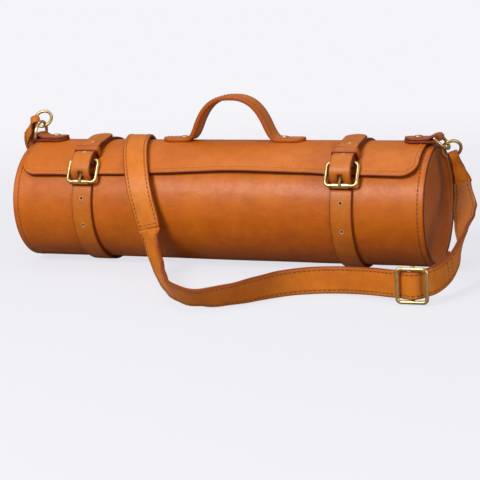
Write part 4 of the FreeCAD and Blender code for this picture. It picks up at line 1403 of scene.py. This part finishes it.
@dataclass
class ShoulderStrap:
    """The long strap: the part over the case, the part along the ground, and the sewn-back end."""

    start: Vector
    finish: Vector
    half: float = 12.5
    wall: float = 3.0
    seam: float = 3.0
    end_half: float = 8.6
    taper: tuple[float, float] = (6.0, 46.0)
    upper: tuple[Knot, ...] = (
        ((-240.5, 24.0, 118.0), (1, -1, 1)), ((-239.0, 50.0, 98.0), (1, 0, 0.2)),
        ((-237.0, 72.0, 60.0), (1, 0, 0)), ((-224.0, 92.0, 26.0), (0.8, 0, 0.6)),
        ((-196.0, 107.0, 14.0), (0, 0, 1)), ((-164.0, 113.0, 14.0), (0, 0, 1)),
        ((-138.0, 99.5, 20.0), (0.5, 0, 0.9)), ((-126.0, 81.0, 46.0), (1, 0, 0.3)),
        ((-119.0, 70.5, 78.0), (1, 0, 0)), ((-112.0, 50.4, 109.4), (1, 0, 0)),
        ((-105.0, 25.0, 126.4), (1, 0, 0)), ((-97.0, -4.1, 131.2), (1, 0, 0)),
        ((-88.0, -33.4, 123.0), (1, 0, 0)), ((-78.0, -55.0, 104.6), (1, 0, 0)),
        ((-70.0, -66.9, 82.6), (1, 0, 0)), ((-63.0, -69.6, 60.0), (1, 0, 0)),
        ((-60.0, -70.3, 46.5), (1, -0.08, 0)))
    lower: tuple[Knot, ...] = (
        ((-60.0, -70.3, 46.5), (1, -0.08, 0)), ((-57.5, -73.2, 34.0), (0.74, -0.48, 0.47)),
        ((-48.0, -84.5, 19.0), (0.40, -0.26, 0.88)), ((-29.0, -114.0, 13.2), (0.15, -0.07, 0.98)),
        ((-7.0, -153.0, 12.9), (-0.14, -0.09, 0.97)), ((17.0, -187.0, 11.4), (-0.34, -0.39, 0.84)),
        ((45.0, -201.0, 10.6), (-0.04, -0.68, 0.73)), ((70.0, -188.0, 12.0), (0.32, -0.36, 0.87)),
        ((88.0, -165.0, 12.9), (0.2, -0.2, 0.95)),
        ((106.0, -138.0, 13.2), (0.05, -0.1, 1)), ((132.0, -122.0, 13.2), (0, 0, 1)),
        ((162.0, -121.0, 14.2), (0, 0, 1)), ((190.0, -132.0, 16.5), (0, 0, 1)),
        ((212.0, -142.0, 17.5), (0, 0, 1)), ((232.8, -148.0, 17.4), (0, 0, 1)),
        ((247.0, -138.0, 18.5), (0, 0, 1)), ((256.0, -112.0, 23.0), (0, 0, 1)),
        ((257.5, -80.0, 31.0), (0.06, 0, 1)), ((254.5, -46.0, 41.0), (0.36, 0.05, 0.93)),
        ((249.5, -16.0, 53.5), (0.7, 0.2, 0.68)), ((243.5, 8.0, 66.5), (0.9, 0.33, 0.27)),
        ((238.5, 19.5, 77.5), (0.9, 0.31, 0.31)))
    slider: tuple[float, float] = (232.0, -146.0)
    sewn_end: tuple[float, float, float] = (257.0, -93.0, 27.0)

    def build(self) -> None:
        """Build and dress both lengths of the strap."""
        over = [(tuple(self.start / MM), (1, -1, 1)), *self.upper]
        under = [*self.lower, (tuple(self.finish / MM), (0.9, 0.31, 0.31))]
        line, stations = self.length("shoulder_strap_over", over, 0.0, self.end_half, self.half)
        piece = strap("shoulder_strap_over", stations, STRAP_LEATHER, Layers.TWO, plain=(len(stations) - 1,))
        ramp = Vector((0.0, -0.4472, 0.8944)) * MM
        bend(piece, "strap_leather", ramp * 75.1, ramp * 105.5, "shoulder_strap")
        tuple(line.points[0])
        [tuple(p) for p in line.points]
        sewing = self.sewing("shoulder_strap_over_stitches", stations, [self.cross_row(stations[-3])])
        bend(sewing, "strap_leather", ramp * 75.1, ramp * 105.5)

        line, stations = self.length("shoulder_strap_ground", under, 1.0, self.half, self.end_half)
        piece = strap("shoulder_strap_ground", stations, STRAP_LEATHER, Layers.TWO, plain=(0,))
        low, high = Vector((0, 0, 60.0)) * MM, Vector((0, 0, 86.5)) * MM
        bend(piece, "strap_leather", low, high, "shoulder_strap")
        back = self.sewn_back(stations)
        tuple(line.points[0])
        [tuple(p) for p in line.points]
        sewing = self.sewing("shoulder_strap_ground_stitches", stations, [])
        bend(sewing, "strap_leather", low, high)

    def length(self, name: str, knots: Sequence[Knot], weave: float, first: float,
               last: float) -> tuple[Line, list[Station]]:
        """One length of strap on its smooth line.

        Args:
            name: The length's name.
            knots: Its points and the way its width leans there.
            weave: 1 if it goes through the slider, else 0.
            first: Half its width at its first end.
            last: Half its width at its last end.

        Returns:
            Its middle line and its sections.
        """
        curve = bpy.data.curves.new(name + "_line", "CURVE")
        curve.dimensions = "3D"
        spline = curve.splines.new("NURBS")
        spline.points.add(len(knots) - 1)
        for point, (place, _) in zip(spline.points, knots):
            point.co = (*(Vector(place) * MM), 1.0)
        spline.order_u = 3
        spline.use_endpoint_u = True
        spline.resolution_u = 12
        holder = bpy.data.objects.new(name + "_line", curve)
        bpy.context.scene.collection.objects.link(holder)
        bpy.context.view_layer.update()
        evaluated = holder.evaluated_get(bpy.context.evaluated_depsgraph_get())
        points = [v.co.copy() for v in bpy.data.meshes.new_from_object(evaluated).vertices]
        bpy.data.objects.remove(holder)
        line = Line(points)
        middle = Vector((*self.slider, 0.0)) * MM
        at_slider = min(range(len(points)), key=lambda n: (points[n].xy - middle.xy).length)
        stations = []
        for number, place in enumerate(points):
            # where the section lies between knots: the curve's first and last spans count double
            span = number / (len(points) - 1) * (len(knots) - 2)
            spot = span + min(0.5, span) if span < len(knots) - 2.5 else 2 * span - (len(knots) - 3)
            spot = min(len(knots) - 1.0, spot)
            index = min(int(spot), len(knots) - 2)
            share = eased(spot - index, 0.0, 1.0)
            hint = Vector(knots[index][1]).normalized().lerp(Vector(knots[index + 1][1]).normalized(), share)
            way = line.way(line.marks[number], 4.0)
            across = (hint - way * hint.dot(way)).normalized()
            face = way.cross(across)
            far = line.marks[number]
            half = self.half - (self.half - first) * (1 - eased(far, *self.taper))
            half = min(half, self.half - (self.half - last) * (1 - eased(line.length - far, *self.taper)))
            shift = self.weave(far - line.marks[at_slider]) * weave
            stations.append(Station(place + face * (shift * MM), across, face, half, self.wall))
        return line, stations

    @staticmethod
    def weave(along: float) -> float:
        """How far the strap goes behind the slider's sides or over its bar, in millimetres."""
        dip = math.exp(-((abs(along) - 13.7) / 5.0) ** 2)
        return 2.2 * math.exp(-(along / 5.5) ** 2) - 1.7 * dip

    def cross_row(self, station: Station) -> list[tuple[Vector, Vector]]:
        """A row of sewing across the strap at a section."""
        reach = station.half - self.seam
        return [(station.point(reach * (2 * n / 8 - 1), 1.0, 0.12), station.face) for n in range(9)]

    def sewing(self, name: str, stations: Sequence[Station],
               extra: list[list[tuple[Vector, Vector]]]) -> bpy.types.Object:
        """The sewing along both edges, on both faces."""
        runs = edge_runs(stations, self.seam, (1.0, -1.0), 0.12, 1) + extra
        return Stitching(4.6, 3.2, 0.42).sew(name, runs)

    def sewn_back(self, stations: Sequence[Station]) -> bpy.types.Object:
        """The end that goes round the slider's bar and is sewn to the strap behind it."""
        middle = Vector((*self.slider, 0.0)) * MM
        start = min(range(len(stations)), key=lambda n: (stations[n].place.xy - middle.xy).length) + 4
        stop = Vector(self.sewn_end) * MM
        finish = min(range(len(stations)), key=lambda n: (stations[n].place - stop).length)
        layer = []
        for station in stations[start:finish + 1]:
            place = station.place - station.face * (3.3 * MM)
            layer.append(Station(place, station.across, station.face, self.half - 0.5, 2.4))
        piece = strap("strap_sewn_back", layer, STRAP_LEATHER)
        attach(piece, "barrel", "strap_leather", "strap_return")
        runs = [self.cross_row(stations[finish - shift]) for shift in (3, 7)]
        attach(Stitching(3.6, 2.6).sew("strap_sewn_back_stitches", runs), "barrel", "strap_leather")
        LOG.info("sewn-back end stops at %s", tuple(round(v, 3) for v in stations[finish].place))
        return piece


@dataclass
class Metalwork:
    """The buckles, rings and slider, in antique brass."""

    finish: Metal = BRASS
    words: tuple[str, ...] = (
        "buckle_frame", "buckle_roller", "buckle_prong", "dee_ring", "round_ring", "slider")
    knob: tuple[tuple[float, float], ...] = (
        (0.0, -1.4), (1.9, -1.4), (2.3, -0.8), (2.4, -0.3), (2.0, 0.2), (1.1, 0.5), (0.0, 0.6))

    def build(self) -> None:
        """Dress the metal nodes and add the knobs of the slider's bar."""
        for name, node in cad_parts.items():
            if name.startswith(self.words):
                if not node.data.materials:
                    node.data.materials.append(None)
                for slot in node.material_slots:
                    slot.link = "OBJECT"
                    slot.material = self.finish.material()
                LOG.info("%s dressed in %s", name, self.finish.name)
        low, high = (Vector(corner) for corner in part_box("slider_bar"))
        middle = (low + high) / 2
        knobs = []
        for sign, end in ((-1.0, low.z), (1.0, high.z)):
            place, axis = Vector((middle.x, middle.y, end)), Vector((0, 0, sign))
            knobs.append(turned(f"slider_knob_{sign}", list(self.knob), place, axis, BRASS, 24))
        attach(joined("slider_knobs", knobs), "slider", "brass")


@dataclass
class Studio:
    """The camera, the floor and the plain soft light."""

    target: tuple[float, float, float] = (0.0, 0.0, 0.063)
    azimuth: float = 22.4
    elevation: float = 10.0
    roll: float = -2.95
    distance: float = 1.622
    lens: float = 118.5
    aim: tuple[float, float] = (0.0102, -0.0399)
    pale: Colour = (0.913, 0.905, 0.947)

    def camera(self) -> None:
        """Make the camera and aim it."""
        turn, rise, tilt = (math.radians(v) for v in (self.azimuth, self.elevation, self.roll))
        back = Vector((math.sin(turn) * math.cos(rise), -math.cos(turn) * math.cos(rise), math.sin(rise)))
        side = Vector((math.cos(turn), math.sin(turn), 0.0))
        up = back.cross(side)
        right = side * math.cos(tilt) + up * math.sin(tilt)
        top = up * math.cos(tilt) - side * math.sin(tilt)
        place = Vector(self.target) + back * self.distance
        aim = Vector(self.target) + right * self.aim[0] + top * self.aim[1]
        look = (place - aim).normalized()
        right = (right - look * right.dot(look)).normalized()
        top = look.cross(right)
        data = bpy.data.cameras.new("camera")
        data.lens, data.sensor_width, data.sensor_fit = self.lens, 36.0, "HORIZONTAL"
        data.clip_start, data.clip_end = 0.05, 60.0
        camera = bpy.data.objects.new("camera", data)
        camera.matrix_world = Matrix((
            (right.x, top.x, look.x, place.x), (right.y, top.y, look.y, place.y),
            (right.z, top.z, look.z, place.z), (0, 0, 0, 1)))
        bpy.context.scene.collection.objects.link(camera)
        bpy.context.scene.camera = camera

    def light(self) -> None:
        """Make the world and the soft boxes."""
        world = bpy.data.worlds.new("studio")
        bpy.context.scene.world = world
        world.use_nodes = True
        graph = Graph(world.node_tree)
        path = graph.node("ShaderNodeLightPath")["Is Camera Ray"]
        plain = graph.node("ShaderNodeBackground", None, {"Color": (1.0, 0.96, 0.92), "Strength": 0.27})
        shown = graph.node("ShaderNodeBackground", None, {"Color": self.pale, "Strength": 1.0})
        mixed = graph.node("ShaderNodeMixShader", None, {0: path, 1: plain[0], 2: shown[0]})
        graph.node("ShaderNodeOutputWorld", None, {"Surface": mixed[0]})
        for name, place, size, power in (
                ("key_light", (-0.45, -1.35, 1.05), 0.6, 25.0), ("top_light", (-0.2, 0.2, 1.7), 1.1, 8.0),
                ("fill_light", (1.6, -0.8, 0.55), 0.9, 10.0)):
            lamp = bpy.data.lights.new(name, "AREA")
            lamp.size, lamp.energy = size, power
            holder = bpy.data.objects.new(name, lamp)
            holder.location = place
            holder.rotation_euler = (Vector(place) - Vector(self.target)).to_track_quat("Z", "Y").to_euler()
            bpy.context.scene.collection.objects.link(holder)

    def floor(self) -> None:
        """Make the pale floor that keeps a soft shadow."""
        mesh = bpy.data.meshes.new("floor")
        reach = 30.0
        mesh.from_pydata([(-reach, -reach, -0.0003), (reach, -reach, -0.0003), (reach, reach, -0.0003),
                          (-reach, reach, -0.0003)], [], [(0, 1, 2, 3)])
        floor = bpy.data.objects.new("floor", mesh)
        bpy.context.scene.collection.objects.link(floor)
        material, graph = new_graph("pale_floor")
        glow = graph.node("ShaderNodeEmission", None, {"Color": self.pale, "Strength": 0.78})
        matt = graph.node("ShaderNodeBsdfDiffuse", None, {"Color": (0.13, 0.13, 0.135)})
        near = graph.node("ShaderNodeAddShader", None, {0: glow[0], 1: matt[0]})
        where = graph.node("ShaderNodeTexCoord")["Object"]
        length = graph.node("ShaderNodeVectorMath", {"operation": "LENGTH"}, {0: where})
        away = Value(graph, length["Value"].socket)
        plain = graph.node("ShaderNodeEmission", None, {"Color": self.pale, "Strength": 1.0})
        pale = graph.node("ShaderNodeMixShader", None, {0: away.step(0.25, 1.3), 1: near[0], 2: plain[0]})
        dim = graph.node("ShaderNodeBsdfDiffuse", None, {"Color": (0.30, 0.26, 0.23)})
        path = graph.node("ShaderNodeLightPath")["Is Camera Ray"]
        mixed = graph.node("ShaderNodeMixShader", None, {0: path, 1: dim[0], 2: pale[0]})
        graph.node("ShaderNodeOutputMaterial", None, {"Surface": mixed[0]})
        mesh.materials.append(material)

    def build(self) -> None:
        """Make the light and the floor."""
        bpy.context.scene.view_settings.view_transform = "Standard"
        self.light()
        self.floor()


def main() -> None:
    """Build the case, from the camera and the loose strap to the metalwork."""
    logging.basicConfig(level=logging.INFO, format="%(message)s")
    studio = Studio()
    studio.camera()
    loops = {
        Side.LEFT: StrapLoop(Side.LEFT, Vector((0.07503, -0.78801, 0.61107)), Vector((-0.6, 0.55, -0.7))),
        Side.RIGHT: StrapLoop(Side.RIGHT, Vector((-0.42767, 0.78801, 0.44287)), Vector((0.18, 0.38, -0.9))),
    }
    ShoulderStrap(loops[Side.LEFT].end(), loops[Side.RIGHT].end()).build()
    for loop in loops.values():
        loop.build()
    Tube().build()
    Flap().build()
    for side in Side:
        Closure(side).build()
    Handle().build()
    BackRivets().build()
    for side, fold in ((Side.LEFT, 212.5), (Side.RIGHT, 221.0)):
        RingTab(side, fold).build()
    Metalwork().build()
    studio.build()


if __name__ == "__main__":
    main()
